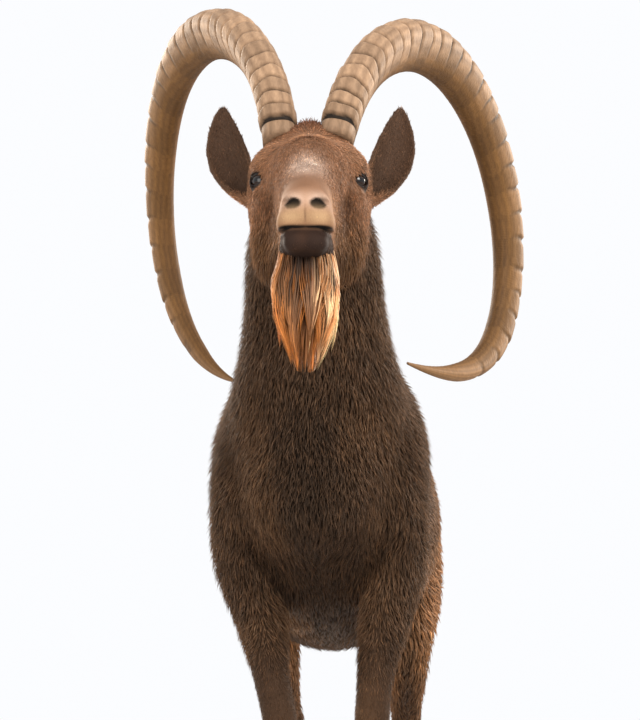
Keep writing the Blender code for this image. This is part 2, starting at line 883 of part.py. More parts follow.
def hoof_claw(name, side, foot, turn):
    """One half of a cloven hoof. Turn says which half: -1 the inner, 1 the outer."""
    out, along = foot
    centre = side * out + turn * side * 0.0133
    inner = -turn * side
    rings = []
    for level in range(4):
        share = level / 3
        swell = 1.0 - 0.12 * share
        ring = []
        for i in range(12):
            angle = 2 * math.pi * (i + 0.5) / 12
            c, s = math.cos(angle), math.sin(angle)
            reach = 0.037 - 0.014 * share if s < 0 else 0.027 - 0.002 * share
            y = s * reach + 0.004 * share
            taper = 1.0 - 0.42 * max(0.0, -s) ** 2
            x = c * 0.0120 * swell
            if c * inner > 0:
                x = math.copysign(min(abs(c) * 1.5, 1.0) * 0.0112, c)
            else:
                x = x * taper
            top = HOOF_FRONT - (y + 0.026) * HOOF_SLOPE
            ring.append((centre + x, along + y, share * top))
        rings.append(ring)
    return ring_solid(name, rings)


def coronet_slab(side, foot):
    """The thin cut between a leg and its hooves, on the slope of the hooves' tops."""
    out, along = foot
    normal = (0.0, HOOF_SLOPE, 1.0)
    length = math.sqrt(1 + HOOF_SLOPE**2)
    height = HOOF_FRONT + (GAP + CUT / 2) * length
    return slab((side * out, along - 0.026, height), normal, 0.045, 0.075)


# Beard

BEARD_TOP = -0.1505
BEARD_CENTRE = -0.112


BEARD_LENGTH = 0.150
# Down the beard: height below the chin, how far back, half width and half depth
BEARD_SHAPE = (
    (0.000, 0.000, 0.047, 0.050),
    (0.035, -0.004, 0.048, 0.044),
    (0.075, -0.010, 0.041, 0.035),
    (0.115, -0.016, 0.028, 0.024),
    (0.150, -0.020, 0.012, 0.011),
)
CORE_DEPTH = 0.074
CORE_FULLNESS = 0.80
# For each row of locks: height below the chin, how many, and the length of a lock
LOCK_ROWS = (
    (0.004, 11, 0.062),
    (0.026, 10, 0.066),
    (0.048, 9, 0.070),
    (0.066, 7, 0.084),
)
LOCK_HALF_WIDTH = 0.0108
LOCK_HALF_THICKNESS = 0.0034


def beard_spot(depth, angle, fullness):
    """A point of the beard at a depth below the chin and an angle round it."""
    rows = np.array(BEARD_SHAPE)
    forward, half, deep = (np.interp(depth, rows[:, 0], rows[:, i]) for i in (1, 2, 3))
    across = math.cos(angle) * half * fullness
    lengthways = BEARD_CENTRE + forward + math.sin(angle) * deep * fullness
    return head_place((across, lengthways, BEARD_TOP - depth))


def beard_core():
    """The solid middle of the beard, which reaches half way to its tips."""
    rings = []
    for depth in (-0.020, 0.0, 0.030, 0.055, CORE_DEPTH):
        fullness = CORE_FULLNESS if depth < 0.06 else CORE_FULLNESS * 0.62
        around = (2 * math.pi * i / 14 for i in range(14))
        rings.append([beard_spot(max(depth, 0.0), a, fullness) for a in around])
        if depth < 0:
            rings[-1] = [p - np.array([0, 0, depth]) for p in rings[-1]]
    return ring_solid("beard", rings)


def beard_lock(depth, angle, length, sway, seed_turn):
    """A flat, tapered lock that leaves the core, bends over its neighbours and hangs."""
    rings = []
    for t, fullness, size in (
        (0.0, 0.62, 0.80),
        (0.22, 0.93, 1.00),
        (0.50, 1.04, 0.92),
        (0.78, 1.00 + 0.06 * seed_turn, 0.55),
        (1.0, 0.92 + 0.14 * seed_turn, 0.10),
    ):
        low = min(depth + length * t, BEARD_LENGTH)
        turn = angle + sway * t * t
        spot = beard_spot(low, turn, fullness)
        outward = beard_spot(low, turn, fullness + 0.2) - spot
        outward = outward / np.linalg.norm(outward)
        across = np.cross(outward, (0.0, 0.0, 1.0))
        wide = across * LOCK_HALF_WIDTH * size
        thick = outward * LOCK_HALF_THICKNESS * size
        rings.append([spot + wide, spot + thick, spot - wide, spot - thick])
    return ring_solid("lock", rings)


def build_beard():
    """Core and locks in one solid, with a flat top against the chin."""
    chance = random.Random(11)
    beard = beard_core()
    locks = []
    for row, (depth, count, length) in enumerate(LOCK_ROWS):
        for i in range(count):
            angle = 2 * math.pi * (i + 0.5 * (row % 2) + chance.uniform(-0.12, 0.12)) / count
            reach = length * chance.uniform(0.86, 1.12)
            sway = chance.uniform(-0.30, 0.42)
            locks.append(beard_lock(depth, angle, reach, sway, chance.uniform(-0.4, 1.0)))
    combine(beard, locks, "UNION")
    keep_largest(beard)
    ceiling = Vector((0, EYE_FORWARD - 0.11, EYE_LEVEL + BEARD_TOP + 0.02))
    combine(beard, [slab(ceiling, (0, 0, 1), 0.12, 0.14, 0.04)], "DIFFERENCE")
    keep_largest(beard)
    mend(beard)
    return beard


# Building the animal

HEAD_CUT = ((0.0, -0.335, 1.02), (0.0, -0.924, 0.382))
NECK_CUT = ((0.0, -0.165, 0.785), (0.0, -0.753, 0.658))
LEG_CUT = 0.452
KNEE_CUT = 0.290
HOCK_CUT = 0.315
TAIL_CUT = ((0.0, 0.722, 0.812), (0.0, 0.96, 0.28))


def body_cuts():
    cuts = [slab(*HEAD_CUT, 0.20, 0.20), slab(*NECK_CUT, 0.25, 0.24), slab(*TAIL_CUT, 0.05, 0.048)]
    for name, side in (("left", LEFT), ("right", RIGHT)):
        cuts.append(slab((side * 0.115, -0.08, LEG_CUT), (0, 0, 1), 0.110, 0.110))
        cuts.append(slab((side * 0.115, 0.50, LEG_CUT), (0, 0, 1), 0.110, 0.140))
        out, along = FOREFEET[name]
        cuts.append(slab((side * (out + 0.01), along + 0.03, KNEE_CUT), (0, 0, 1), 0.050, 0.07))
        cuts.append(coronet_slab(side, FOREFEET[name]))
        out, along = HINDFEET[name]
        cuts.append(slab((side * (out + 0.01), along + 0.06, HOCK_CUT), (0, 0, 1), 0.050, 0.07))
        cuts.append(coronet_slab(side, HINDFEET[name]))
    return cuts


def leg_anchors():
    """A point inside each piece of each leg, by name."""
    anchors = {}
    for name, side in (("left", LEFT), ("right", RIGHT)):
        out, along = FOREFEET[name]
        anchors["foreleg_upper_" + name] = (side * out, along + 0.04, 0.37)
        anchors["foreleg_lower_" + name] = (side * out, along + 0.045, 0.16)
        anchors["stub_front_" + name] = (side * out, along, 0.025)
        out, along = HINDFEET[name]
        anchors["hindleg_upper_" + name] = (side * out, along + 0.02, 0.39)
        anchors["hindleg_lower_" + name] = (side * out, along + 0.045, 0.16)
        anchors["stub_hind_" + name] = (side * out, along, 0.025)
    return anchors


def part_into(item, anchors):
    """Each closed shell becomes the node whose anchor lies nearest its middle."""
    best = {}
    for piece, middle, volume in loose_pieces(item):
        name = min(anchors, key=lambda n: (Vector(anchors[n]) - middle).length)
        if name not in best or abs(volume) > abs(best[name][1]):
            best[name] = (piece, volume)
    made = {}
    for name, (piece, _) in best.items():
        if name.startswith("stub"):
            continue
        mesh = bpy.data.meshes.new(name)
        piece.to_mesh(mesh)
        node = bpy.data.objects.new(name, mesh)
        bpy.context.collection.objects.link(node)
        mend(node)
        made[name] = node
    bpy.data.objects.remove(item)
    return made


def build_body():
    points, faces = surface_of(body_grid())
    body = mesh_object("flesh", points, faces)
    mend(body)
    fewer_faces(body, BODY_FACES)
    mend(body)
    keep_largest(body)
    combine(body, body_cuts(), "DIFFERENCE")
    anchors = leg_anchors()
    anchors["torso"] = (0.0, 0.20, 0.69)
    anchors["neck"] = (0.0, -0.24, 0.90)
    anchors["tail"] = (0.0, 0.765, 0.775)
    anchors["stub_head"] = (0.0, -0.45, 1.04)
    return part_into(body, anchors)


def build_head():
    points, faces = surface_of(head_grid())
    head = mesh_object("head_flesh", points, faces)
    mend(head)
    keep_largest(head)
    fewer_faces(head, HEAD_FACES)
    mend(head)
    keep_largest(head)
    ears = {"ear_left": fitted_ear(head, LEFT), "ear_right": fitted_ear(head, RIGHT)}
    combine(head, [slab(*HEAD_CUT, 0.20, 0.25)], "DIFFERENCE")
    for side in (LEFT, RIGHT):
        socket = ball(eye_place(side), EYEBALL_RADIUS + GAP)
        combine(head, [socket, lid_opening(side)], "DIFFERENCE")
    horns = [ring_solid("socket", horn_rings(name, GAP, False)) for name in HORNS]
    combine(head, horns, "DIFFERENCE")
    chin = Vector((0, EYE_FORWARD - 0.110, EYE_LEVEL + BEARD_TOP + GAP - 0.0200))
    combine(head, [slab(chin, (0, 0, 1), 0.070, 0.085, 0.0400)], "DIFFERENCE")
    made = part_into(head, {"head": (0.0, -0.44, 1.04), "stub_neck": (0.0, -0.28, 0.94)})
    made.update(ears)
    return made


def build_all():
    clear_scene()
    nodes = build_body()
    nodes.update(build_head())
    for name, side in (("left", LEFT), ("right", RIGHT)):
        nodes["eye_" + name] = ball(eye_place(side), EYEBALL_RADIUS, 2)
        nodes["horn_" + name] = ring_solid("horn", horn_rings(name))
        for place, feet in (("front", FOREFEET), ("hind", HINDFEET)):
            for half, turn in (("inner", -1), ("outer", 1)):
                claw = "hoof_" + place + "_" + name + "_" + half
                nodes[claw] = hoof_claw(claw, side, feet[name], turn)
    nodes["beard"] = build_beard()
    return nodes


# Materials

COLOURS = {
    "coat_dark": ((0.070, 0.040, 0.026), 0.85),
    "coat_face": ((0.160, 0.085, 0.048), 0.85),
    "coat_ginger": ((0.300, 0.130, 0.050), 0.85),
    "horn_keratin": ((0.330, 0.255, 0.175), 0.60),
    "hoof_keratin": ((0.045, 0.038, 0.034), 0.50),
    "eye_glass": ((0.020, 0.012, 0.008), 0.08),
}


def slot_of(name):
    if name.startswith("horn"):
        return "horn_keratin"
    if name.startswith("hoof"):
        return "hoof_keratin"
    if name.startswith("eye"):
        return "eye_glass"
    if name == "beard":
        return "coat_ginger"
    if name in ("head", "ear_left", "ear_right"):
        return "coat_face"
    return "coat_dark"


def finish(nodes):
    """Name, colour and shade every node, and set the animal over the origin."""
    shift = Matrix.Translation((0.0, CENTRING_SHIFT, 0.0))
    for name, node in sorted(nodes.items()):
        node.name = name
        node.data.name = name
        node.data.transform(shift)
        colour, rough = COLOURS[slot_of(name)]
        material = bpy.data.materials.new(name)
        material.use_nodes = True
        shader = material.node_tree.nodes["Principled BSDF"]
        shader.inputs["Base Color"].default_value = (*colour, 1.0)
        shader.inputs["Roughness"].default_value = rough
        shader.inputs["Metallic"].default_value = 0.0
        node.data.materials.clear()
        node.data.materials.append(material)
        for polygon in node.data.polygons:
            polygon.use_smooth = True
        node.data.set_sharp_from_angle(angle=math.radians(40))
        print(name, sum(len(p.vertices) - 2 for p in node.data.polygons))


finish(build_all())
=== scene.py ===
# %% [markdown]
# # A Siberian ibex buck, dressed for a museum hall
#
# The solids of the animal come packed from its CAD source. This script gives them their looks:
# one seamless skin, a coat of solid hair tufts that follow its lie, ridged horns, wet eyes,
# cloven hooves and a ginger beard. Everything is in metres, the animal faces -Y and +X is its
# left side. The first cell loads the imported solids, which stay where they are.

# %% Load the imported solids
import math
import random

import bmesh
import bpy
import numpy as np
from mathutils import Matrix, Vector
from mathutils.kdtree import KDTree


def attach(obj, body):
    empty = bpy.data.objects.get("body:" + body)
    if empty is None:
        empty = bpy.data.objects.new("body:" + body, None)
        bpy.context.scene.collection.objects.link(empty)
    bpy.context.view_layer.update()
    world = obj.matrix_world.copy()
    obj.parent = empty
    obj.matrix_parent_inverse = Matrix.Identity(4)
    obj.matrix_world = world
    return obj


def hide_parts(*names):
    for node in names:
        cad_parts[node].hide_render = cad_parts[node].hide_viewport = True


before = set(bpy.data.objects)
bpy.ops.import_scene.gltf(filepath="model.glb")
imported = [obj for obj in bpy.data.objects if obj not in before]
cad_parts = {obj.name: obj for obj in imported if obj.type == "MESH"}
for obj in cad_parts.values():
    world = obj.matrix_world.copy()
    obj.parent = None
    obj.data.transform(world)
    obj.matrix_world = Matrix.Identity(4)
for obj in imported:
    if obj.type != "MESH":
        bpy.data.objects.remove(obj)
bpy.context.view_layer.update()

# %% [markdown]
# ## The camera
#
# A wildlife photograph like this is made with a long lens from below the animal, which
# flattens its depth and makes the horns frame the face. The camera is placed by the two eyes:
# they sit 15 cm apart, so their place in the picture fixes the distance, and the tilt comes
# from how much of the chin shows. It is a 124 mm lens, 3.5 m from the eyes, looking up 12 degrees.

# %% Place the camera
CENTRING_SHIFT = -0.0785
EYE_LEVEL = 1.07
EYE_FORWARD = -0.42
PICTURE_WIDTH = 640
PICTURE_HEIGHT = 720
FOCAL_PIXELS = 2485.0
EYE_DISTANCE = 3.5
LOOK_UP = math.radians(12.0)
LOOK_ROUND = math.radians(4.0)
ROLL = math.radians(0.5)
EYES_IN_PICTURE = (307.5, 183.5)


def make_camera():
    """A long lens that sees the midpoint of the eyes at its place in the picture."""
    aim = Vector(
        (
            -math.sin(LOOK_ROUND) * math.cos(LOOK_UP),
            math.cos(LOOK_ROUND) * math.cos(LOOK_UP),
            math.sin(LOOK_UP),
        )
    )
    level = Vector((math.cos(LOOK_ROUND), math.sin(LOOK_ROUND), 0.0))
    upright = level.cross(aim)
    right = level * math.cos(ROLL) + upright * math.sin(ROLL)
    up = upright * math.cos(ROLL) - level * math.sin(ROLL)
    eyes = Vector((0.0, EYE_FORWARD + CENTRING_SHIFT, EYE_LEVEL))
    across = (EYES_IN_PICTURE[0] - PICTURE_WIDTH / 2) / FOCAL_PIXELS * EYE_DISTANCE
    above = (PICTURE_HEIGHT / 2 - EYES_IN_PICTURE[1]) / FOCAL_PIXELS * EYE_DISTANCE
    place = eyes - right * across - up * above - aim * EYE_DISTANCE
    lens = bpy.data.cameras.new("camera")
    lens.sensor_fit = "VERTICAL"
    lens.sensor_height = 36.0
    lens.lens = 36.0 * FOCAL_PIXELS / PICTURE_HEIGHT
    lens.clip_end = 60.0
    camera = bpy.data.objects.new("camera", lens)
    bpy.context.scene.collection.objects.link(camera)
    camera.matrix_world = Matrix(
        (
            (right.x, up.x, -aim.x, place.x),
            (right.y, up.y, -aim.y, place.y),
            (right.z, up.z, -aim.z, place.z),
            (0, 0, 0, 1),
        )
    )
    bpy.context.scene.camera = camera
    print("camera at", [round(v, 3) for v in place])


make_camera()

# %% [markdown]
# ## Flesh as blended muscles
#
# A sculptor builds an animal from clay masses laid over each other. Here each mass is a tapered
# limb with oval ends, written as the distance from any point to its surface. A soft minimum of
# the distances melts them together, as flesh melts over bone, and a grid of samples holds the
# result. The CAD source makes its solids from the same masses, so skin and solids agree.

# %% The grid and the distance to one muscle
FAR = 1.0
LEFT = 1.0
RIGHT = -1.0
HEAD_YAW = math.radians(3.0)
YAW_PIVOT = 0.04


class Grid:
    """A box of sample points that holds the distance to the flesh, negative inside."""

    def __init__(self, low, high, cell):
        self.low = np.array(low, float)
        self.cell = cell
        self.count = np.ceil((np.array(high) - self.low) / cell).astype(int) + 1
        self.field = np.full(self.count, FAR, np.float32)

    def window(self, low, high):
        """The part of the grid inside a box, as slices, with its sample points."""
        first = np.clip(np.floor((low - self.low) / self.cell).astype(int), 0, self.count)
        last = np.clip(np.ceil((high - self.low) / self.cell).astype(int) + 1, 0, self.count)
        if (last <= first).any():
            return None, None
        axes = [
            (self.low[i] + self.cell * np.arange(first[i], last[i])).astype(np.float32)
            for i in range(3)
        ]
        part = tuple(slice(a, b) for a, b in zip(first, last))
        return part, np.stack(np.meshgrid(*axes, indexing="ij"), -1)


def tapered_distance(points, start, end, size_start, size_end, side):
    """Distance to a limb with oval ends. A size is half its width and half its depth."""
    axis = end - start
    length = max(np.linalg.norm(axis), 1e-6)
    along = axis / length
    across = side - along * (side @ along)
    across = across / np.linalg.norm(across)
    deep = np.cross(along, across)
    offset = points - start.astype(np.float32)
    share = np.clip(offset @ along.astype(np.float32) / length, 0.0, 1.0)
    width = size_start[0] + (size_end[0] - size_start[0]) * share
    depth = size_start[1] + (size_end[1] - size_start[1]) * share
    middle = (width + depth) / 2
    rest = offset - share[..., None] * axis.astype(np.float32)
    sideways = rest @ across.astype(np.float32) / width
    deepways = rest @ deep.astype(np.float32) / depth
    lengthways = rest @ along.astype(np.float32) / middle
    reach = np.sqrt(sideways**2 + deepways**2 + lengthways**2)
    slope = np.sqrt(
        (sideways / width) ** 2 + (deepways / depth) ** 2 + (lengthways / middle) ** 2
    )
    core = -np.minimum(width, depth)
    return np.where(slope < 1e-3, core, reach * (reach - 1) / np.maximum(slope, 1e-3))


def soft_min(first, second, blend):
    share = np.clip(0.5 + 0.5 * (second - first) / blend, 0.0, 1.0)
    return second * (1 - share) + first * share - blend * share * (1 - share)


def add_mass(grid, mass):
    """Blend one mass of muscles into the flesh, or carve it out when it is a hollow."""
    muscles, blend, hollow = mass
    sizes = [max(*m[2], *m[3]) for m in muscles]
    low = np.min([np.minimum(m[0], m[1]) - s for m, s in zip(muscles, sizes)], 0)
    high = np.max([np.maximum(m[0], m[1]) + s for m, s in zip(muscles, sizes)], 0)
    margin = blend + 3 * grid.cell
    part, points = grid.window(low - margin, high + margin)
    if part is None:
        return
    nearest = np.full(points.shape[:3], FAR, np.float32)
    origin = points[0, 0, 0]
    for muscle, size in zip(muscles, sizes):
        reach = size + margin
        a = np.floor((np.minimum(muscle[0], muscle[1]) - reach - origin) / grid.cell)
        b = np.ceil((np.maximum(muscle[0], muscle[1]) + reach - origin) / grid.cell) + 1
        a = np.clip(a.astype(int), 0, None)
        b = np.clip(b.astype(int), 0, None)
        box = tuple(slice(i, j) for i, j in zip(a, b))
        if nearest[box].size:
            distance = tapered_distance(points[box], *muscle)
            nearest[box] = np.minimum(nearest[box], distance)
    if hollow:
        grid.field[part] = -soft_min(-grid.field[part], nearest, blend)
    else:
        grid.field[part] = soft_min(grid.field[part], nearest, blend)


def smooth_path(stations, steps=4):
    """Rows of numbers through the given rows, on a smooth curve."""
    rows = np.array(stations, float)
    fine = [rows[0]]
    for i in range(len(rows) - 1):
        before = rows[max(i - 1, 0)]
        after = rows[min(i + 2, len(rows) - 1)]
        for step in range(1, steps + 1):
            t = step / steps
            fine.append(
                0.5
                * (
                    2 * rows[i]
                    + (rows[i + 1] - before) * t
                    + (2 * before - 5 * rows[i] + 4 * rows[i + 1] - after) * t**2
                    + (3 * rows[i] - before - 3 * rows[i + 1] + after) * t**3
                )
            )
    return fine


def limb(stations, blend, hollow=False, steps=4):
    """One mass along stations of x, y, z, half width, half depth."""
    side = np.array([1.0, 0.0, 0.0])
    fine = smooth_path(stations, steps)
    muscles = [(a[:3], b[:3], a[3:], b[3:], side) for a, b in zip(fine, fine[1:])]
    return muscles, blend, hollow


def egg(x, y, z, width, depth, height, blend, hollow=False):
    """One rounded mass with its half sizes along X, Y and Z."""
    reach = max(depth - (width + height) / 2, 0.0004)
    start = np.array([x, y - reach, z])
    end = np.array([x, y + reach, z])
    size = np.array([width, height])
    return [(start, end, size, size, np.array([1.0, 0.0, 0.0]))], blend, hollow


def mirrored(mass):
    """The same mass on the other side."""
    muscles, blend, hollow = mass
    turn = np.array([-1.0, 1.0, 1.0])
    return [(a * turn, b * turn, p, q, side) for a, b, p, q, side in muscles], blend, hollow


def in_pairs(masses):
    return [m for mass in masses for m in (mass, mirrored(mass))]


# %% The animal's muscles
def head_masses():
    """Skull, muzzle, jaw and brows, from the midpoint of the eyes."""
    centre = [
        limb(
            [
                (0, 0.075, 0.018, 0.056, 0.056),
                (0, 0.030, 0.020, 0.066, 0.062),
                (0, -0.025, 0.004, 0.062, 0.056),
                (0, -0.080, -0.033, 0.045, 0.047),
                (0, -0.130, -0.064, 0.037, 0.040),
                (0, -0.164, -0.083, 0.0375, 0.036),
                (0, -0.172, -0.090, 0.034, 0.031),
            ],
            0.02,
        ),
        limb(
            [
                (0, 0.060, -0.070, 0.062, 0.052),
                (0, 0.000, -0.094, 0.056, 0.046),
                (0, -0.060, -0.108, 0.040, 0.034),
                (0, -0.115, -0.119, 0.031, 0.027),
                (0, -0.150, -0.124, 0.028, 0.020),
            ],
            0.022,
        ),
        limb(
            [
                (0, 0.040, -0.040, 0.066, 0.060),
                (0, -0.040, -0.062, 0.050, 0.050),
                (0, -0.105, -0.088, 0.0375, 0.038),
                (0, -0.150, -0.102, 0.033, 0.030),
            ],
            0.02,
        ),
        egg(0, 0.034, 0.060, 0.060, 0.046, 0.032, 0.03),
        egg(0, -0.045, 0.012, 0.032, 0.050, 0.030, 0.03),
        egg(0, -0.110, -0.128, 0.034, 0.046, 0.026, 0.02),
    ]
    sides = [
        egg(0.050, 0.045, -0.060, 0.032, 0.052, 0.066, 0.03),
        egg(0.055, 0.014, 0.026, 0.027, 0.040, 0.021, 0.03),
        egg(0.053, 0.010, -0.027, 0.021, 0.045, 0.017, 0.03),
        egg(0.060, 0.056, 0.006, 0.027, 0.032, 0.040, 0.03),
    ]
    return centre + in_pairs(sides)


def face_masses():
    """The small forms of the face: the rings of lid, the lips and the wings of the nose."""
    x, y, z = EYEBALL_PLACE
    reach = EYEBALL_RADIUS + LID_THICKNESS
    return in_pairs(
        [
            egg(x, y, z, reach, reach, reach, 0.006),
            egg(0.062, 0.000, 0.0205, 0.016, 0.020, 0.0065, 0.010),
            egg(0.060, -0.004, -0.0205, 0.015, 0.018, 0.0055, 0.010),
            egg(0.022, -0.166, -0.104, 0.0165, 0.026, 0.0165, 0.010),
            egg(0.017, -0.183, -0.080, 0.0135, 0.014, 0.0135, 0.008),
            egg(0.013, -0.163, -0.130, 0.0160, 0.018, 0.0130, 0.008),
        ]
    )


def head_hollows():
    """The line of the mouth, the groove under the nose and the nostrils."""
    mouth = [
        (0, -0.2040, -0.1135, 0.0036, 0.0020),
        (0.012, -0.2000, -0.1145, 0.0036, 0.0020),
        (0.025, -0.1830, -0.1165, 0.0036, 0.0020),
        (0.0345, -0.1580, -0.1150, 0.0036, 0.0020),
        (0.0385, -0.1280, -0.1080, 0.0030, 0.0018),
    ]
    nostril = [
        (0.0085, -0.2060, -0.0890, 0.0044, 0.0044),
        (0.0145, -0.2030, -0.0840, 0.0070, 0.0064),
        (0.0215, -0.1970, -0.0800, 0.0060, 0.0052),
        (0.0275, -0.1880, -0.0800, 0.0036, 0.0034),
    ]
    cleft = limb(
        [(0, -0.2075, -0.094, 0.0024, 0.0026), (0, -0.2060, -0.111, 0.0024, 0.0026)], 0.003, True
    )
    pairs = in_pairs([limb(mouth, 0.003, True), limb(nostril, 0.003, True)])
    return pairs + [cleft]


def body_masses():
    """Neck, trunk and rump, from the floor."""
    centre = [
        limb(
            [
                (0, -0.20, 0.690, 0.105, 0.120),
                (0, -0.10, 0.706, 0.135, 0.172),
                (0, 0.02, 0.692, 0.150, 0.203),
                (0, 0.16, 0.682, 0.168, 0.208),
                (0, 0.30, 0.688, 0.172, 0.198),
                (0, 0.42, 0.712, 0.160, 0.170),
                (0, 0.52, 0.740, 0.140, 0.138),
                (0, 0.60, 0.748, 0.112, 0.115),
            ],
            0.03,
        ),
        limb(
            [
                (0, -0.325, 1.060, 0.078, 0.070),
                (0, -0.300, 1.000, 0.098, 0.088),
                (0, -0.262, 0.930, 0.104, 0.108),
                (0, -0.216, 0.860, 0.114, 0.132),
                (0, -0.162, 0.790, 0.134, 0.154),
                (0, -0.110, 0.730, 0.144, 0.165),
            ],
            0.03,
        ),
        egg(0, -0.04, 0.862, 0.055, 0.120, 0.045, 0.05),
        egg(0, -0.205, 0.665, 0.085, 0.075, 0.080, 0.04),
        egg(0, 0.505, 0.585, 0.036, 0.036, 0.060, 0.03),
    ]
    sides = [
        egg(0.085, 0.54, 0.785, 0.055, 0.090, 0.050, 0.06),
        egg(0.072, 0.610, 0.690, 0.056, 0.090, 0.100, 0.07),
    ]
    return centre + in_pairs(sides)


# Where each leg's hoof stands: outwards from the middle, and along the body
FOREFEET = {"left": (0.074, -0.125), "right": (0.050, -0.155)}
HINDFEET = {"left": (0.100, 0.575), "right": (0.088, 0.540)}


def foreleg_mass(side, foot):
    out, along = foot
    knee = out + 0.004
    rows = [
        (0.080, 0.005, 0.855, 0.032, 0.075),
        (0.110, -0.060, 0.770, 0.046, 0.092),
        (0.121, -0.122, 0.675, 0.044, 0.076),
        (0.116, -0.085, 0.580, 0.046, 0.066),
        (0.098 if side > 0 else 0.090, -0.075, 0.500, 0.040, 0.054),
        ((knee + 0.092) / 2, along * 0.4 - 0.045, 0.420, 0.030, 0.040),
        (knee, along + 0.030, 0.335, 0.030, 0.035),
        (knee, along + 0.028, 0.300, 0.029, 0.033),
        (out, along + 0.040, 0.240, 0.0225, 0.0265),
        (out, along + 0.046, 0.160, 0.0215, 0.0245),
        (out, along + 0.042, 0.112, 0.0265, 0.029),
        (out, along + 0.022, 0.074, 0.0255, 0.026),
        (out, along + 0.006, 0.036, 0.027, 0.030),
    ]
    return limb([(side * r[0], *r[1:]) for r in rows], 0.028)


def hindleg_masses(side, foot):
    out, along = foot
    rows = [
        (0.082, 0.490, 0.775, 0.060, 0.115),
        (0.108, 0.485, 0.680, 0.060, 0.140),
        (0.118, 0.450, 0.590, 0.052, 0.108),
        (0.112, along * 0.3 + 0.310, 0.500, 0.038, 0.068),
        (0.106, along * 0.8 + 0.110, 0.420, 0.028, 0.044),
        (out + 0.004, along + 0.062, 0.355, 0.027, 0.040),
        (out + 0.002, along + 0.064, 0.310, 0.025, 0.033),
        (out, along + 0.055, 0.240, 0.0215, 0.0265),
        (out, along + 0.046, 0.160, 0.0210, 0.0245),
        (out, along + 0.042, 0.112, 0.0265, 0.029),
        (out, along + 0.022, 0.074, 0.0255, 0.026),
        (out, along + 0.006, 0.036, 0.027, 0.030),
    ]
    leg = limb([(side * r[0], *r[1:]) for r in rows], 0.028)
    heel = egg(side * (out + 0.003), along + 0.094, 0.372, 0.014, 0.018, 0.024, 0.02)
    return [leg, heel]


def dewclaw_masses(side, foot):
    """The two small claws behind each fetlock."""
    out, along = foot
    return [
        egg(side * out + turn * 0.014, along + 0.062, 0.088, 0.0105, 0.012, 0.016, 0.006)
        for turn in (-1, 1)
    ]


def tail_mass():
    return limb(
        [
            (0, 0.660, 0.824, 0.028, 0.024),
            (0, 0.714, 0.824, 0.024, 0.020),
            (0, 0.752, 0.803, 0.025, 0.019),
            (0, 0.769, 0.757, 0.021, 0.016),
            (0, 0.771, 0.715, 0.011, 0.010),
        ],
        0.012,
    )


def soften(grid, passes):
    """Smooth the flesh a little, so no ring is left where two muscles meet."""
    limit = 6 * grid.cell
    field = np.clip(grid.field, -limit, limit)
    for _ in range(passes):
        for axis in range(3):
            before = np.roll(field, 1, axis)
            after = np.roll(field, -1, axis)
            field = 0.5 * field + 0.25 * (before + after)
    grid.field = field


def head_place(point):
    """From the head's own axes to the world: turned a little to the left, then set in place."""
    x, y, z = point
    y = y - YAW_PIVOT
    c, s = math.cos(HEAD_YAW), math.sin(HEAD_YAW)
    spot = (x * c - y * s, x * s + y * c + YAW_PIVOT + EYE_FORWARD, z + EYE_LEVEL)
    return np.array(spot)


def to_world(mass):
    """A mass given from the eyes, set where the eyes are."""
    muscles, blend, hollow = mass
    made = [
        (head_place(a), head_place(b), p, q, head_place(side) - head_place((0, 0, 0)))
        for a, b, p, q, side in muscles
    ]
    return made, blend, hollow


def large_masses():
    masses = body_masses()
    masses.append(tail_mass())
    for name, side in (("left", LEFT), ("right", RIGHT)):
        masses.append(foreleg_mass(side, FOREFEET[name]))
        masses.extend(hindleg_masses(side, HINDFEET[name]))
    masses.extend(to_world(m) for m in head_masses())
    return masses


# %% From the field to a mesh
def surface_of(grid):
    """One point in every cell the surface crosses, joined to its neighbours."""
    field = grid.field
    inside = field < 0
    corners = [(i, j, k) for i in (0, 1) for j in (0, 1) for k in (0, 1)]
    size = [n - 1 for n in field.shape]
    total = np.zeros(size, np.int8)
    for i, j, k in corners:
        total += inside[i : i + size[0], j : j + size[1], k : k + size[2]]
    active = (total > 0) & (total < 8)
    number = np.full(size, -1, np.int64)
    number[active] = np.arange(active.sum())
    cells = np.argwhere(active)
    place = np.zeros(cells.shape)
    crossings = np.zeros(len(cells))
    for a in corners:
        for axis in range(3):
            if a[axis]:
                continue
            b = tuple(c + (n == axis) for n, c in enumerate(a))
            first = field[tuple((cells + a).T)]
            second = field[tuple((cells + b).T)]
            cross = (first < 0) != (second < 0)
            gap = np.where(cross, first - second, 1.0)
            share = np.where(cross, first / gap, 0.0)[:, None]
            spot = np.array(a) + share * (np.array(b) - np.array(a))
            place += spot * cross[:, None]
            crossings += cross
    points = grid.low + (cells + place / crossings[:, None]) * grid.cell
    faces = []
    for axis in range(3):
        u, v = (axis + 1) % 3, (axis + 2) % 3
        low = [slice(1, -1)] * 3
        low[axis] = slice(0, -1)
        high = list(low)
        high[axis] = slice(1, None)
        start, end = inside[tuple(low)], inside[tuple(high)]
        spots = np.argwhere(start != end)
        flip = end[tuple(spots.T)]
        offset = np.ones(3, int)
        offset[axis] = 0
        spots = spots + offset
        ring = []
        for du, dv in ((0, 0), (-1, 0), (-1, -1), (0, -1)):
            shift = np.zeros(3, int)
            shift[u] = du
            shift[v] = dv
            ring.append(number[tuple((spots + shift).T)])
        quad = np.stack(ring, 1)
        quad[flip] = quad[flip][:, ::-1]
        faces.append(quad)
    return points, np.concatenate(faces)


# %% [markdown]
# ## One skin
#
# Flesh, head and ears become one closed skin with no seam. The trunk and legs are sampled at
# 8 mm and the head at about 2 mm, because a face needs far more detail than a flank. Both are
# cut by the same plane behind the jaw and stitched there. The skin lies deeper than the solids
# by the depth of the coat, since the solids reach out to the tips of the hair. The small forms
# of the face, such as lids, lips, nostrils and the cups of the ears, are added after that.

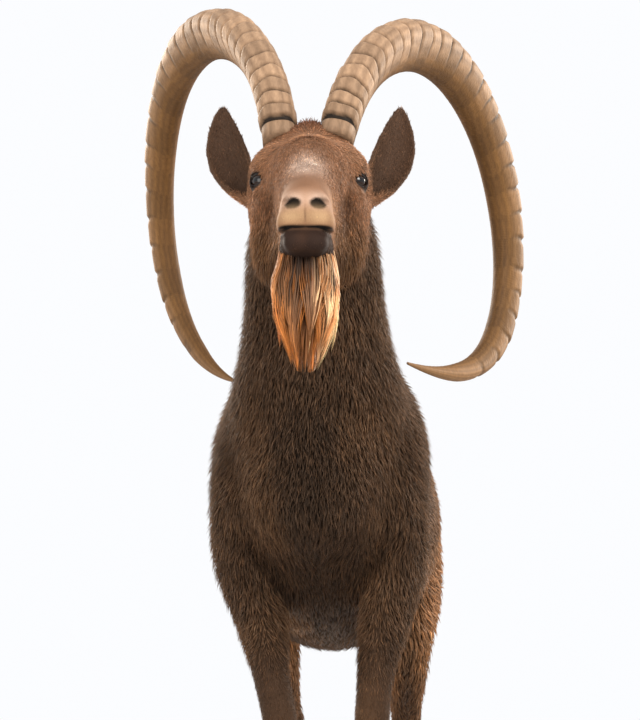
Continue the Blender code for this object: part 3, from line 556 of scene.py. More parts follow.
# %% The ears as bent sheets, and the skin's own depth
EAR_ROOT = (0.068, 0.074, -0.008)
EAR_BEND = (0.122, 0.088, 0.034)
EAR_TIP = (0.130, 0.100, 0.140)
EAR_OPENING = (0.30, -0.95, 0.10)
EAR_SHARES = (0.0, 0.15, 0.30, 0.50, 0.68, 0.84, 0.95, 1.0)
EAR_HALF_WIDTHS = (0.015, 0.019, 0.0245, 0.0285, 0.0265, 0.0185, 0.0095, 0.0030)
EAR_CURLS = (150, 130, 100, 76, 62, 52, 45, 40)
EAR_HALF_THICKNESS = 0.0021
CUT_POINT = np.array([0.0, -0.335, 1.02])
CUT_NORMAL = np.array([0.0, -0.924, 0.382]) / math.hypot(0.924, 0.382)


def smooth_step(value, start, end):
    share = np.clip((value - start) / (end - start), 0.0, 1.0)
    return share * share * (3.0 - 2.0 * share)


def ear_sheet(side, rows=64, columns=34):
    """Points in the middle of an ear's shell, with the direction of its thickness."""
    root, bend, tip, opening = (
        Vector((side * p[0], p[1], p[2])) for p in (EAR_ROOT, EAR_BEND, EAR_TIP, EAR_OPENING)
    )
    points, normals = [], []
    for r in range(rows + 1):
        u = r / rows
        spot = root * (1 - u) ** 2 + bend * 2 * u * (1 - u) + tip * u * u
        along = ((bend - root) * (1 - u) + (tip - bend) * u).normalized()
        face = (opening - along * opening.dot(along)).normalized()
        across = along.cross(face)
        half = np.interp(u, EAR_SHARES, EAR_HALF_WIDTHS) - 0.0012
        curl = math.radians(np.interp(u, EAR_SHARES, EAR_CURLS))
        radius = half / math.sin(min(curl, math.pi / 2))
        hub = spot + face * radius
        for c in range(columns + 1):
            angle = (-1 + 2 * c / columns) * curl
            sideways = across * math.sin(angle) - face * math.cos(angle)
            points.append(head_place(hub + sideways * (radius + 0.0016)))
            normals.append(head_place(sideways) - head_place((0, 0, 0)))
    return np.array(points), np.array(normals)


def add_ear(grid, side):
    """Blend an ear into the head's field, as a thin sheet of even thickness."""
    points, normals = ear_sheet(side)
    tree = KDTree(len(points))
    for i, point in enumerate(points):
        tree.insert(point, i)
    tree.balance()
    part, spots = grid.window(points.min(0) - 0.012, points.max(0) + 0.012)
    shape = spots.shape[:3]
    spots = spots.reshape(-1, 3)
    nearest = np.array([tree.find(p)[1] for p in spots.tolist()])
    offset = spots - points[nearest]
    through = (offset * normals[nearest]).sum(1)
    sideways = np.sqrt(np.maximum((offset**2).sum(1) - through**2, 0.0))
    sideways = np.maximum(sideways - 0.0014, 0.0)
    distance = np.sqrt(through**2 + sideways**2) - EAR_HALF_THICKNESS
    distance = distance.reshape(shape).astype(np.float32)
    grid.field[part] = soft_min(grid.field[part], distance, 0.006)


def coat_depth(points):
    """How far the skin lies under the tips of the coat."""
    face = smooth_step((points - CUT_POINT) @ CUT_NORMAL, -0.02, 0.05)
    legs = 1.0 - smooth_step(points[..., 2], 0.40, 0.58)
    tail = smooth_step(points[..., 1], 0.70, 0.74)
    deep = 0.0095 - 0.0062 * legs - 0.0050 * tail
    return deep * (1.0 - face) + 0.0024 * face


# %% Sample the flesh and take its surface
BODY_CELL = 0.008
HEAD_CELL = 0.0022
EYEBALL_RADIUS = 0.0158
EYEBALL_PLACE = (0.0650, -0.0050, 0.0)
EYE_FACING = (0.57, -0.82, 0.03)
LID_THICKNESS = 0.0032
LID_HALF_LENGTH = 0.0136
LID_HALF_HEIGHT = 0.0094


def inset(grid):
    part, points = grid.window(grid.low, grid.low + grid.cell * grid.count)
    grid.field[part] += coat_depth(points).astype(np.float32)


def body_skin():
    grid = Grid((-0.26, -0.62, -0.02), (0.26, 0.86, 1.20), BODY_CELL)
    for mass in large_masses():
        add_mass(grid, mass)
    soften(grid, 3)
    inset(grid)
    for name, side in (("left", LEFT), ("right", RIGHT)):
        for mass in dewclaw_masses(side, FOREFEET[name]) + dewclaw_masses(side, HINDFEET[name]):
            add_mass(grid, mass)
    return surface_of(grid)


def eye_hollows(side):
    """The room for the eyeball and the almond opening between the lids."""
    x, y, z = EYEBALL_PLACE
    reach = EYEBALL_RADIUS + 0.0003
    facing = np.array([side * EYE_FACING[0], EYE_FACING[1], EYE_FACING[2]])
    facing = facing / np.linalg.norm(facing)
    across = np.cross(facing, (0, 0, 1.0))
    across = across / np.linalg.norm(across)
    centre = np.array([side * x, y, z])
    socket = ([(centre, centre + 0.0002, (reach, reach), (reach, reach), across)], 0.001, True)
    inner = (LID_HALF_LENGTH * 0.74, LID_HALF_HEIGHT * 0.74)
    outer = (LID_HALF_LENGTH * 1.25, LID_HALF_HEIGHT * 1.25)
    near, far = centre + facing * 0.006, centre + facing * 0.036
    opening = ([(near, far, inner, outer, across)], 0.0015, True)
    return [socket, opening]


def head_skin():
    grid = Grid((-0.165, -0.66, 0.88), (0.165, -0.262, 1.24), HEAD_CELL)
    for mass in large_masses():
        add_mass(grid, mass)
    soften(grid, 9)
    inset(grid)
    for side in (LEFT, RIGHT):
        add_ear(grid, side)
    details = face_masses() + head_hollows() + eye_hollows(LEFT) + eye_hollows(RIGHT)
    for mass in details:
        add_mass(grid, to_world(mass))
    return surface_of(grid)


# %% Stitch head and trunk into one mesh
def cut_half(points, faces, ahead):
    """The half of a surface in front of the cut, or behind it."""
    mesh = bpy.data.meshes.new("half")
    mesh.from_pydata(points.tolist(), [], faces.tolist())
    half = bmesh.new()
    half.from_mesh(mesh)
    bpy.data.meshes.remove(mesh)
    everything = half.verts[:] + half.edges[:] + half.faces[:]
    bmesh.ops.bisect_plane(
        half,
        geom=everything,
        dist=1e-6,
        plane_co=CUT_POINT,
        plane_no=CUT_NORMAL,
        clear_outer=not ahead,
        clear_inner=ahead,
    )
    return half


def rim_of(half, start):
    """The points of the cut's rim in order round it, numbered from a given start."""
    half.verts.index_update()
    rim = {v for e in half.edges if len(e.link_faces) == 1 for v in e.verts}
    rim = [v for v in rim if abs((np.array(v.co) - CUT_POINT) @ CUT_NORMAL) < 1e-4]
    sideways = np.array([1.0, 0.0, 0.0])
    upwards = np.cross(sideways, CUT_NORMAL)
    middle = np.mean([v.co for v in rim], 0)
    turn = [
        math.atan2((np.array(v.co) - middle) @ upwards, (np.array(v.co) - middle) @ sideways)
        for v in rim
    ]
    order = np.argsort(turn)
    return [rim[i].index + start for i in order], [turn[i] for i in order]


def zip_rims(first, first_turn, second, second_turn):
    """Triangles between two rims, always taking the next point round."""
    faces = []
    i = j = 0
    while i < len(first) or j < len(second):
        next_i = first_turn[i + 1] if i + 1 < len(first) else 9.0 + i - len(first)
        next_j = second_turn[j + 1] if j + 1 < len(second) else 9.0 + j - len(second)
        a, b = first[i % len(first)], second[j % len(second)]
        if i < len(first) and (j >= len(second) or next_i <= next_j):
            faces.append((a, first[(i + 1) % len(first)], b))
            i += 1
        else:
            faces.append((a, second[(j + 1) % len(second)], b))
            j += 1
    return faces


def join_halves():
    """The whole skin as one closed mesh, smoothed a little over the stitches."""
    trunk = cut_half(*body_skin(), False)
    head = cut_half(*head_skin(), True)
    trunk_rim, trunk_turn = rim_of(trunk, 0)
    head_rim, head_turn = rim_of(head, len(trunk.verts))
    points, faces = [], []
    for half in (trunk, head):
        shift = len(points)
        half.verts.index_update()
        points += [v.co[:] for v in half.verts]
        faces += [[v.index + shift for v in f.verts] for f in half.faces]
        half.free()
    faces += zip_rims(trunk_rim, trunk_turn, head_rim, head_turn)
    mesh = bpy.data.meshes.new("skin")
    mesh.from_pydata(points, [], faces)
    whole = bmesh.new()
    whole.from_mesh(mesh)
    keep_one_shell(whole)
    near = [v for v in whole.verts if abs((np.array(v.co) - CUT_POINT) @ CUT_NORMAL) < 0.014]
    for _ in range(10):
        bmesh.ops.smooth_vert(
            whole, verts=near, factor=0.5, use_axis_x=True, use_axis_y=True, use_axis_z=True
        )
    bmesh.ops.recalc_face_normals(whole, faces=whole.faces)
    bmesh.ops.translate(whole, verts=whole.verts, vec=(0.0, CENTRING_SHIFT, 0.0))
    bmesh.ops.triangulate(whole, faces=whole.faces)
    whole.to_mesh(mesh)
    whole.free()
    return mesh


def keep_one_shell(whole):
    """Drop any scrap that isn't joined to the largest shell."""
    seen = set()
    shells = []
    for start in whole.verts:
        if start in seen:
            continue
        shell = [start]
        seen.add(start)
        for vert in shell:
            for edge in vert.link_edges:
                other = edge.other_vert(vert)
                if other not in seen:
                    seen.add(other)
                    shell.append(other)
        shells.append(shell)
    shells.sort(key=len)
    for shell in shells[:-1]:
        bmesh.ops.delete(whole, geom=shell, context="VERTS")


def place_object(name, data):
    item = bpy.data.objects.new(name, data)
    bpy.context.scene.collection.objects.link(item)
    return item


def add_object(name, mesh):
    item = place_object(name, mesh)
    for face in mesh.polygons:
        face.use_smooth = True
    return item


skin = add_object("skin", join_halves())
print("skin triangles", len(skin.data.polygons))

# %% [markdown]
# ## The markings
#
# Skin and hair take their colour from one function of place, so they always agree. The face is
# warm tan with a pale patch between the eyes, cheeks and jaw are darker, the chest is nearly
# black, flanks and haunches turn ginger brown, and the ears are dark inside. Painted shade makes
# the underside of the chin nearly black and darkens the nostrils, the line of the mouth and the
# groove under the nose.

# %% Colour of the coat at any place
def linear(red, green, blue):
    """A colour picked on a screen, as light."""
    return (np.array([red, green, blue]) / 255.0) ** 2.2


def head_frame(points):
    """Places measured from the midpoint of the eyes, along the head's own axes."""
    spot = points - np.array([0.0, CENTRING_SHIFT + EYE_FORWARD + YAW_PIVOT, EYE_LEVEL])
    c, s = math.cos(HEAD_YAW), math.sin(HEAD_YAW)
    x = spot[:, 0] * c + spot[:, 1] * s
    y = spot[:, 1] * c - spot[:, 0] * s + YAW_PIVOT
    return np.stack([x, y, spot[:, 2]], 1)


def ahead_of_cut(points):
    """How far in front of the cut behind the jaw each finished point lies."""
    return (points - CUT_POINT - np.array([0, CENTRING_SHIFT, 0])) @ CUT_NORMAL


def folded(spots):
    """Places in the head with both sides laid over each other."""
    return np.stack([abs(spots[:, 0]), spots[:, 1], spots[:, 2]], 1)


def near(points, middle, reach):
    """A soft spot: one in the middle, fading over a reach along each axis."""
    return np.exp(-(((points - np.array(middle)) / np.array(reach)) ** 2).sum(1))


def drift(points, size, seed):
    """Soft noise from a few sine waves, between minus one and one."""
    chance = np.random.default_rng(seed)
    total = np.zeros(len(points))
    for _ in range(5):
        way = chance.normal(size=3)
        total += np.sin(points @ (way / np.linalg.norm(way)) * 6.28 / size + chance.uniform(0, 6))
    return total / 5


def markings(points, normals):
    colour = np.empty((len(points), 3))
    colour[:] = linear(92, 71, 55)

    def paint(mask, shade):
        share = np.clip(mask, 0.0, 1.0)[:, None]
        colour[:] = colour * (1 - share) + np.array(shade) * share

    y, z = points[:, 1], points[:, 2]
    paint(smooth_step(y, 0.0, 0.35), linear(138, 100, 70))
    paint(smooth_step(y, 0.45, 0.62) * smooth_step(z, 0.45, 0.7), linear(150, 104, 66))
    paint(near(points, (0, -0.36, 0.66), (0.075, 0.20, 0.20)) * 0.9, linear(62, 49, 39))
    paint(smooth_step(-normals[:, 2], 0.3, 0.9) * (z < 0.62), linear(66, 50, 38))
    paint((1 - smooth_step(z, 0.34, 0.52)), linear(84, 62, 46))
    paint((1 - smooth_step(z, 0.02, 0.10)), linear(60, 46, 36))
    stripe = smooth_step(normals[:, 2], 0.75, 1.0) * (abs(points[:, 0]) < 0.03)
    paint(0.8 * stripe, linear(66, 50, 38))
    paint(0.35 * np.clip(drift(points, 0.16, 4), 0, 1), linear(150, 112, 80))
    paint(0.35 * np.clip(-drift(points, 0.11, 5), 0, 1), linear(70, 52, 40))
    ahead = ahead_of_cut(points)
    face = smooth_step(ahead, -0.01, 0.04)
    p = head_frame(points)
    side = abs(p[:, 0])
    flat = folded(p)
    paint(face, linear(150, 108, 80))
    cheek = smooth_step(-p[:, 2], 0.03, 0.09) * smooth_step(p[:, 1], -0.14, -0.07)
    jaw = smooth_step(-p[:, 2], 0.08, 0.14) * smooth_step(p[:, 1], -0.10, -0.03)
    paint(face * cheek, linear(120, 88, 62))
    paint(face * jaw, linear(82, 62, 46))
    paint(face * near(p, (0, 0.02, 0.10), (0.05, 0.045, 0.03)), linear(110, 70, 52))
    paint(0.95 * near(p, (0, -0.118, -0.008), (0.024, 0.036, 0.022)), linear(236, 206, 186))
    paint(0.5 * near(p, (0, -0.035, 0.055), (0.03, 0.012, 0.012)), linear(196, 150, 118))
    paint(0.6 * near(flat, (0.052, 0.000, 0.030), (0.022, 0.03, 0.014)), linear(196, 150, 116))
    paint(0.8 * near(flat, (0.040, -0.140, -0.075), (0.02, 0.05, 0.025)), linear(194, 148, 112))
    nose = near(p, (0, -0.198, -0.074), (0.030, 0.022, 0.018))
    paint(nose, linear(166, 126, 98))
    paint(0.8 * near(flat, (0.018, -0.203, -0.079), (0.019, 0.030, 0.0125)), linear(206, 176, 156))
    # Painted shade: the nostrils are painted nearly black, as the shade inside them.
    nostril = near(flat, (0.0175, -0.203, -0.0835), (0.0125, 0.030, 0.0088))
    paint(smooth_step(nostril, 0.28, 0.55), linear(9, 6, 6))
    lip = near(flat, (0.018, -0.195, -0.101), (0.026, 0.03, 0.011))
    paint(0.9 * lip, linear(178, 144, 108))
    # Painted shade: the underside of the chin is painted nearly black, as the shadow beneath it.
    chin = smooth_step(-p[:, 2], 0.112, 0.119) * smooth_step(-p[:, 1], 0.085, 0.12)
    paint(chin, linear(58, 43, 36))
    # Painted shade: the line of the mouth is painted nearly black, as the shade in the crease
    # between the lips.
    seam = near(flat, (0.020, -0.195, -0.1140), (0.034, 0.04, 0.0022))
    paint(1.4 * seam * (p[:, 1] < -0.10), linear(18, 13, 12))
    # Painted shade along the groove under the nose.
    paint(0.7 * near(p, (0, -0.205, -0.100), (0.0014, 0.02, 0.010)), linear(84, 62, 48))
    eye = np.linalg.norm(flat - np.array(EYEBALL_PLACE), axis=1)
    paint(1.0 - smooth_step(eye, 0.0195, 0.0225), linear(40, 29, 24))
    paint(1.2 * near(flat, (0.047, -0.028, -0.007), (0.009, 0.013, 0.0042)), linear(30, 21, 17))
    paint(0.5 * near(flat, (0.050, -0.018, -0.026), (0.016, 0.022, 0.008)), linear(92, 66, 48))
    paint(0.6 * near(flat, (0.050, -0.045, -0.055), (0.018, 0.036, 0.032)), linear(92, 64, 46))
    streaks = np.clip(drift(p * np.array([1, 1, 0.35]), 0.030, 15), 0, 1)
    paint(0.5 * face * streaks, linear(96, 66, 48))
    ear = smooth_step(side, 0.080, 0.092) * smooth_step(p[:, 2], -0.01, 0.012)
    paint(ear, linear(126, 94, 70))
    turned = np.sign(p[:, 0])[:, None] * np.array([[0.30, 0, 0]]) + np.array([[0, -0.95, 0.10]])
    inside = smooth_step((normals * turned).sum(1), 0.0, 0.5)
    paint(ear * inside * 0.8, linear(84, 64, 52))
    return colour


# %% Colour the skin
def vertex_arrays(mesh):
    points = np.empty(len(mesh.vertices) * 3, np.float32)
    normals = np.empty(len(mesh.vertices) * 3, np.float32)
    mesh.vertices.foreach_get("co", points)
    mesh.vertex_normals.foreach_get("vector", normals)
    return points.reshape(-1, 3).astype(float), normals.reshape(-1, 3).astype(float)


def set_colour(mesh, colours):
    layer = mesh.color_attributes.new("Tint", "FLOAT_COLOR", "POINT")
    full = np.ones((len(colours), 4), np.float32)
    full[:, :3] = np.clip(colours, 0, 1)
    layer.data.foreach_set("color", full.ravel())


skin_points, skin_normals = vertex_arrays(skin.data)
skin_spots = head_frame(skin_points)
# The skin is painted darker where the coat covers it, as the shade deep among the tufts; the bare
# muzzle keeps its full colour.
bare = near(skin_spots, (0, -0.200, -0.100), (0.045, 0.035, 0.034))
shade = 0.62 + 0.38 * np.clip(1.5 * bare, 0, 1)
set_colour(skin.data, markings(skin_points, skin_normals) * shade[:, None])

# %% [markdown]
# ## The coat
#
# Every tuft is a thin, three-sided blade that leaves the skin, bends over and lies along the
# body. Their roots are spread evenly over the skin by area, denser and shorter on the face.
# The lie runs down the neck and legs and back along the trunk. The map called OFBake places
# each tuft by its root on an unwrap of the skin, region by region and side by side.

# %% How the hair lies and how long it is
def lie_of(points, normals):
    """The direction of the hair along the skin."""
    p = head_frame(points)
    face = smooth_step(ahead_of_cut(points), -0.02, 0.03)
    trunk = smooth_step(points[:, 1], -0.30, -0.05) * smooth_step(points[:, 2], 0.42, 0.60)
    way = np.array([0.0, 0.12, -1.0]) * (1 - trunk)[:, None]
    way = way + np.array([0.0, 0.85, -0.50]) * trunk[:, None]
    outward = p - np.array([0.0, -0.045, 0.055])
    outward = outward / np.linalg.norm(outward, axis=1)[:, None]
    lower = smooth_step(-p[:, 2], 0.0, 0.06) * smooth_step(p[:, 1], -0.16, -0.06)
    down = np.array([0.0, 0.25, -1.0])
    head_way = outward * (1 - lower)[:, None] + down * lower[:, None]
    ear = smooth_step(abs(p[:, 0]), 0.078, 0.090) * smooth_step(p[:, 2], -0.02, 0.0)
    head_way = head_way * (1 - ear)[:, None] + np.array([0.0, 0.1, 1.0]) * ear[:, None]
    way = way * (1 - face)[:, None] + head_way * face[:, None]
    swirl = np.stack([drift(points, 0.07, 7), drift(points, 0.09, 8), drift(points, 0.08, 9)], 1)
    way = way + 0.32 * swirl
    way = way - normals * (way * normals).sum(1)[:, None]
    return way / np.maximum(np.linalg.norm(way, axis=1), 1e-6)[:, None]


def hair_sizes(points):
    """Length, width, lift in degrees and number per square metre at each place."""
    p = head_frame(points)
    face = smooth_step(ahead_of_cut(points), -0.01, 0.03)
    side = abs(p[:, 0])
    legs = 1 - smooth_step(points[:, 2], 0.36, 0.52)
    front = 1 - smooth_step(points[:, 1], -0.25, -0.02)
    length = 0.026 - 0.004 * front - 0.015 * legs
    width = 0.0038 - 0.0021 * front - 0.0012 * legs
    lift = 22.0 + 8.0 * front - 8.0 * legs
    count = 34000 + 70000 * front + 26000 * legs
    tail = smooth_step(points[:, 1], 0.62, 0.645)
    length = length * (1 - tail) + 0.010 * tail
    lift = lift * (1 - 0.6 * tail)
    low = smooth_step(-p[:, 2], 0.02, 0.10) * smooth_step(p[:, 1], -0.12, -0.02)
    muzzle = smooth_step(-p[:, 1], 0.11, 0.16)
    poll = near(p, (0, 0.035, 0.10), (0.022, 0.04, 0.03))
    jaw = near(folded(p), (0.045, 0.03, -0.115), (0.03, 0.06, 0.035))
    ear = smooth_step(side, 0.080, 0.092) * smooth_step(p[:, 2], -0.01, 0.012)
    face_length = 0.0080 + 0.009 * low + 0.018 * jaw - 0.0045 * muzzle + 0.016 * poll - 0.002 * ear
    face_width = 0.0011 + 0.0005 * low + 0.0004 * jaw - 0.0003 * muzzle - 0.0001 * ear
    face_lift = 15.0 + 8.0 * low + 8 * jaw + 30.0 * poll - 4 * muzzle
    face_count = 215000 - 70000 * low - 40000 * ear
    length = length * (1 - face) + face_length * face
    width = width * (1 - face) + face_width * face
    lift = lift * (1 - face) + face_lift * face
    count = count * (1 - face) + face_count * face
    bald = near(p, (0, -0.206, -0.086), (0.036, 0.020, 0.022)) * 1.5
    seam = near(folded(p), (0.02, -0.19, -0.114), (0.036, 0.05, 0.007))
    eye = np.linalg.norm(folded(p) - np.array(EYEBALL_PLACE), axis=1)
    keep = np.clip(1 - bald, 0, 1) * np.clip(1 - 1.6 * seam, 0, 1)
    keep = keep * smooth_step(eye, 0.0200, 0.0225)
    keep = keep * smooth_step(points[:, 2], 0.044, 0.054)
    return length, width, lift, count * keep


# %% Spread the roots evenly over the skin
COAT_SEED = 6
chance = np.random.default_rng(COAT_SEED)
corners = np.empty(len(skin.data.polygons) * 3, np.int32)
skin.data.polygons.foreach_get("vertices", corners)
corners = corners.reshape(-1, 3)
corner_a, corner_b, corner_c = (skin_points[corners[:, i]] for i in range(3))
middles = (corner_a + corner_b + corner_c) / 3
areas = np.linalg.norm(np.cross(corner_b - corner_a, corner_c - corner_a), axis=1) / 2
wanted = areas * hair_sizes(middles)[3]
cells = np.floor(middles / 0.02).astype(int)
order = np.lexsort((middles[:, 0], cells[:, 0], cells[:, 2], cells[:, 1]))
running = np.cumsum(wanted[order])
tuft_count = int(running[-1])
marks = (np.arange(tuft_count) + chance.uniform(0, 1, tuft_count)) * running[-1] / tuft_count
face_of_tuft = order[np.clip(np.searchsorted(running, marks), 0, len(order) - 1)]
u, v = chance.uniform(0, 1, tuft_count), chance.uniform(0, 1, tuft_count)
u, v = np.where(u + v > 1, 1 - u, u)[:, None], np.where(u + v > 1, 1 - v, v)[:, None]
trio = corners[face_of_tuft]


def within_faces(values):
    """A value at each root, from the values at the three corners of its face."""
    return values[trio[:, 0]] * (1 - u - v) + values[trio[:, 1]] * u + values[trio[:, 2]] * v


roots = within_faces(skin_points)
ups = within_faces(skin_normals)
ups = ups / np.linalg.norm(ups, axis=1)[:, None]
print("tufts", tuft_count, "skin area", round(float(areas.sum()), 2))


# %% The unwrap that places the tufts
def unwrap_region(points, normals):
    """A number for each patch of skin that faces one way in one region, and its two axes."""
    ahead = ahead_of_cut(points)
    p = head_frame(points)
    region = np.zeros(len(points), int)
    low = points[:, 2] < 0.47
    region[low] = 1 + 2 * (points[low, 1] > 0.1) + (points[low, 0] > 0)
    region[ahead > 0] = 5
    region[(ahead > 0) & (abs(p[:, 0]) > 0.088) & (p[:, 2] > -0.02)] = 6
    region[(region == 6) & (points[:, 0] > 0)] = 7
    axis = np.argmax(abs(normals), 1)
    sign = normals[np.arange(len(normals)), axis] > 0
    island = region * 6 + axis * 2 + sign
    first = np.where(axis == 0, 1, 0)
    second = np.where(axis == 2, 1, 2)
    rows = np.arange(len(points))
    return island, np.stack([points[rows, first], points[rows, second]], 1)


def pack_islands():
    """Place each patch's rectangle on shelves inside the unit square."""
    normals = skin_normals[corners].mean(1)
    island, flat = unwrap_region(middles, normals)
    boxes = []
    for number in np.unique(island):
        these = flat[island == number]
        scale = 2.0 if number // 6 >= 5 else 1.0
        boxes.append((number, these.min(0), (np.ptp(these, axis=0) + 0.01) * scale, scale))
    boxes.sort(key=lambda box: -box[2][1])
    places, x, y, shelf, width = {}, 0.0, 0.0, 0.0, 2.6
    for number, low, size, scale in boxes:
        if x + size[0] > width:
            x, y, shelf = 0.0, y + shelf, 0.0
        places[number] = (low, x, y, scale)
        x += size[0]
        shelf = max(shelf, size[1])
    return places, max(width, y + shelf) * 1.08


PATCH = 0.003
island_places, atlas_size = pack_islands()


def root_places(points, normals):
    island, flat = unwrap_region(points, normals)
    spots = np.zeros((len(points), 2))
    for number in np.unique(island):
        known = min(island_places, key=lambda k: abs(k - number))
        low, x, y, scale = island_places[known]
        these = island == number
        spots[these] = (np.array([x, y]) + (flat[these] - low) * scale) / atlas_size
    return np.clip(spots, PATCH, 1 - PATCH)


# %% Blades from arrays
def strand_mesh(name, paths, sideways, ups, widths, colours, spots):
    """Closed three-sided strands: paths are rings by strand, the last ring is the tip."""
    count, rings = paths.shape[:2]
    per = (rings - 1) * 3 + 1
    verts = np.empty((count, per, 3))
    thick = 0.34
    for r in range(rings - 1):
        w = widths[:, r, None] / 2
        verts[:, r * 3] = paths[:, r] - sideways[:, r] * w
        verts[:, r * 3 + 1] = paths[:, r] + sideways[:, r] * w
        verts[:, r * 3 + 2] = paths[:, r] + ups[:, r] * w * 2 * thick
    verts[:, -1] = paths[:, -1]
    quads = []
    for r in range(rings - 2):
        for a, b in ((0, 1), (1, 2), (2, 0)):
            quads.append((r * 3 + a, r * 3 + b, r * 3 + 3 + b, r * 3 + 3 + a))
    last = (rings - 2) * 3
    tris = [(last + a, last + b, per - 1) for a, b in ((0, 1), (1, 2), (2, 0))] + [(2, 1, 0)]
    loops = np.array([i for face in quads + tris for i in face])
    sizes = np.array([4] * len(quads) + [3] * len(tris))
    shift = np.arange(count)[:, None] * per
    all_loops = (loops[None] + shift).ravel().astype(np.int32)
    all_sizes = np.tile(sizes, count)
    starts = np.concatenate([[0], np.cumsum(all_sizes)[:-1]]).astype(np.int32)
    mesh = bpy.data.meshes.new(name)
    mesh.vertices.add(count * per)
    mesh.vertices.foreach_set("co", verts.astype(np.float32).ravel())
    mesh.loops.add(len(all_loops))
    mesh.loops.foreach_set("vertex_index", all_loops)
    mesh.polygons.add(len(all_sizes))
    mesh.polygons.foreach_set("loop_start", starts)
    mesh.update(calc_edges=True)
    mesh.polygons.foreach_set("use_smooth", np.ones(len(all_sizes), bool))
    ring_colours = np.repeat(colours[:, :-1], 3, axis=1)
    set_colour(mesh, np.concatenate([ring_colours, colours[:, -1:]], 1).reshape(-1, 3))
    local = np.zeros((per, 2))
    for r in range(rings - 1):
        level = r / (rings - 1) - 0.5
        local[r * 3 : r * 3 + 3] = [(-0.5, level), (0.5, level), (0, level)]
    local[-1] = (0, 0.5)
    places = spots[:, None] + local[None, loops] * PATCH
    layer = mesh.uv_layers.new(name="OFBake")
    layer.data.foreach_set("uv", places.astype(np.float32).ravel())
    return mesh


def unit(vectors):
    return vectors / np.maximum(np.linalg.norm(vectors, axis=-1, keepdims=True), 1e-9)


# %% Grow the tufts
length, width, lift, _ = hair_sizes(roots)
length = length * chance.uniform(0.75, 1.25, tuft_count)
width = width * chance.uniform(0.7, 1.3, tuft_count)
lift = np.radians(lift * chance.uniform(0.6, 1.4, tuft_count))
along = lie_of(roots, ups)
across = np.cross(ups, along)
turn = chance.normal(0, 0.16, tuft_count)[:, None]
along = unit(along + across * turn)
across = np.cross(ups, along)
sway = chance.normal(0, 0.10, tuft_count)
shares = np.array([0.0, 0.5, 1.0])
forward = length[:, None] * np.cos(lift)[:, None] * shares
height = length[:, None] * np.sin(lift)[:, None] * (1.45 * shares - 0.55 * shares**2) - 0.0008
bend = length[:, None] * sway[:, None] * shares**2
paths = roots[:, None] + along[:, None] * forward[..., None]
paths = paths + ups[:, None] * height[..., None] + across[:, None] * bend[..., None]
base_colour = markings(roots, ups)
clump = 0.26 * drift(roots * np.array([1, 1, 0.3]), 0.011, 3) + 0.16 * drift(roots, 0.035, 13)
tone = np.exp(chance.normal(0, 0.26, tuft_count) + clump)[:, None]
warm = 1 + chance.uniform(-0.10, 0.22, tuft_count)[:, None] * np.array([0.6, 0.1, -0.5])
base_colour = base_colour * tone * warm
# Each tuft is painted darker at the root, as the shade deep in the coat, and lighter at the tip.
colours = np.stack([base_colour * 0.55, base_colour * 0.95, base_colour * 1.45], 1)
tapers = width[:, None] * np.array([1.0, 0.85, 0.0])
places = root_places(roots, ups)
TUFTS_A_PIECE = 18500
coat_pieces = []
for start in range(0, tuft_count, TUFTS_A_PIECE):
    these = slice(start, start + TUFTS_A_PIECE)
    sides = np.repeat(across[these, None], 3, axis=1)
    tops = np.repeat(ups[these, None], 3, axis=1)
    name = "coat_%02d" % len(coat_pieces)
    mesh = strand_mesh(
        name, paths[these], sides, tops, tapers[these], colours[these], places[these]
    )
    item = bpy.data.objects.new(name, mesh)
    bpy.context.scene.collection.objects.link(item)
    coat_pieces.append(item)
print("coat pieces", len(coat_pieces))

# %% [markdown]
# ## Horns
#
# Each horn is swept along its own curve: up, back over the shoulders, and in again at the
# tip. The front carries broad knobs like stacked slabs, each rising slowly and breaking off
# at a groove painted nearly black as the shade in it. They fade at the sides and towards the tip.

# %% The curve and the slabs of a horn
HORN_LENGTH = 1.15
HORN_REACH = 1.035
HORN_BACK = 0.030
HORNS = {
    "right": (-0.043, 0.082, 76.1, (170, 180, 226), (6.4, 26.0, 2.4, -36.5)),
    "left": (0.042, 0.084, 78.4, (224, 200, 285), (11.6, 24.3, 1.8, -43.0)),
}
HORN_SHARES = (0.0, 0.2, 0.4, 0.6, 0.8, 0.94, 1.035)
HORN_HALF_WIDTHS = (0.0295, 0.0295, 0.0285, 0.0250, 0.0200, 0.0140, 0.0040)
HORN_HALF_DEPTHS = (0.0415, 0.0405, 0.0375, 0.0320, 0.0250, 0.0165, 0.0050)
HORN_STEPS = 640
HORN_SIDES = 44


def horn_line(name, steps=HORN_STEPS):
    """Points along a horn from its base to its tip, with its direction and its front."""
    out, up, tilt, bends, leans = HORNS[name]
    side = math.copysign(1.0, out)
    place = np.array([out, EYE_FORWARD + HORN_BACK, EYE_LEVEL + up])
    lean_shape = np.polyfit((0, 1 / 3, 2 / 3, 1), leans, 3)
    line = []
    angle = tilt
    for i in range(int(steps * HORN_REACH) + 1):
        share = i / steps
        if i:
            angle -= np.interp(share - 0.5 / steps, (0, 0.5, 1), bends) * HORN_LENGTH / steps
        lean = math.radians(np.polyval(lean_shape, share))
        turn = math.radians(angle)
        forward = math.cos(lean)
        along = np.array(
            [side * math.sin(lean), forward * math.cos(turn), forward * math.sin(turn)]
        )
        front = np.array([0.0, -math.sin(turn), math.cos(turn)])
        across = np.cross(along, front)
        twist = math.radians(38) * side * min(1.0, share / 0.6)
        front = front * math.cos(twist) + across * math.sin(twist)
        if i:
            place = place + along * HORN_LENGTH / steps
        line.append((share, place, along, front))
    return line


def slab_profile(name):
    """Where each slab starts and ends along the horn, a little uneven as they grow."""
    draw = random.Random(31 if name == "left" else 47)
    edges = [0.004]
    while edges[-1] < 0.90:
        step = np.interp(edges[-1], (0, 0.12, 0.5, 0.9), (0.017, 0.027, 0.036, 0.040))
        edges.append(edges[-1] + step * draw.uniform(0.82, 1.18))
    return np.array(edges), np.array([draw.uniform(0.75, 1.15) for _ in edges])


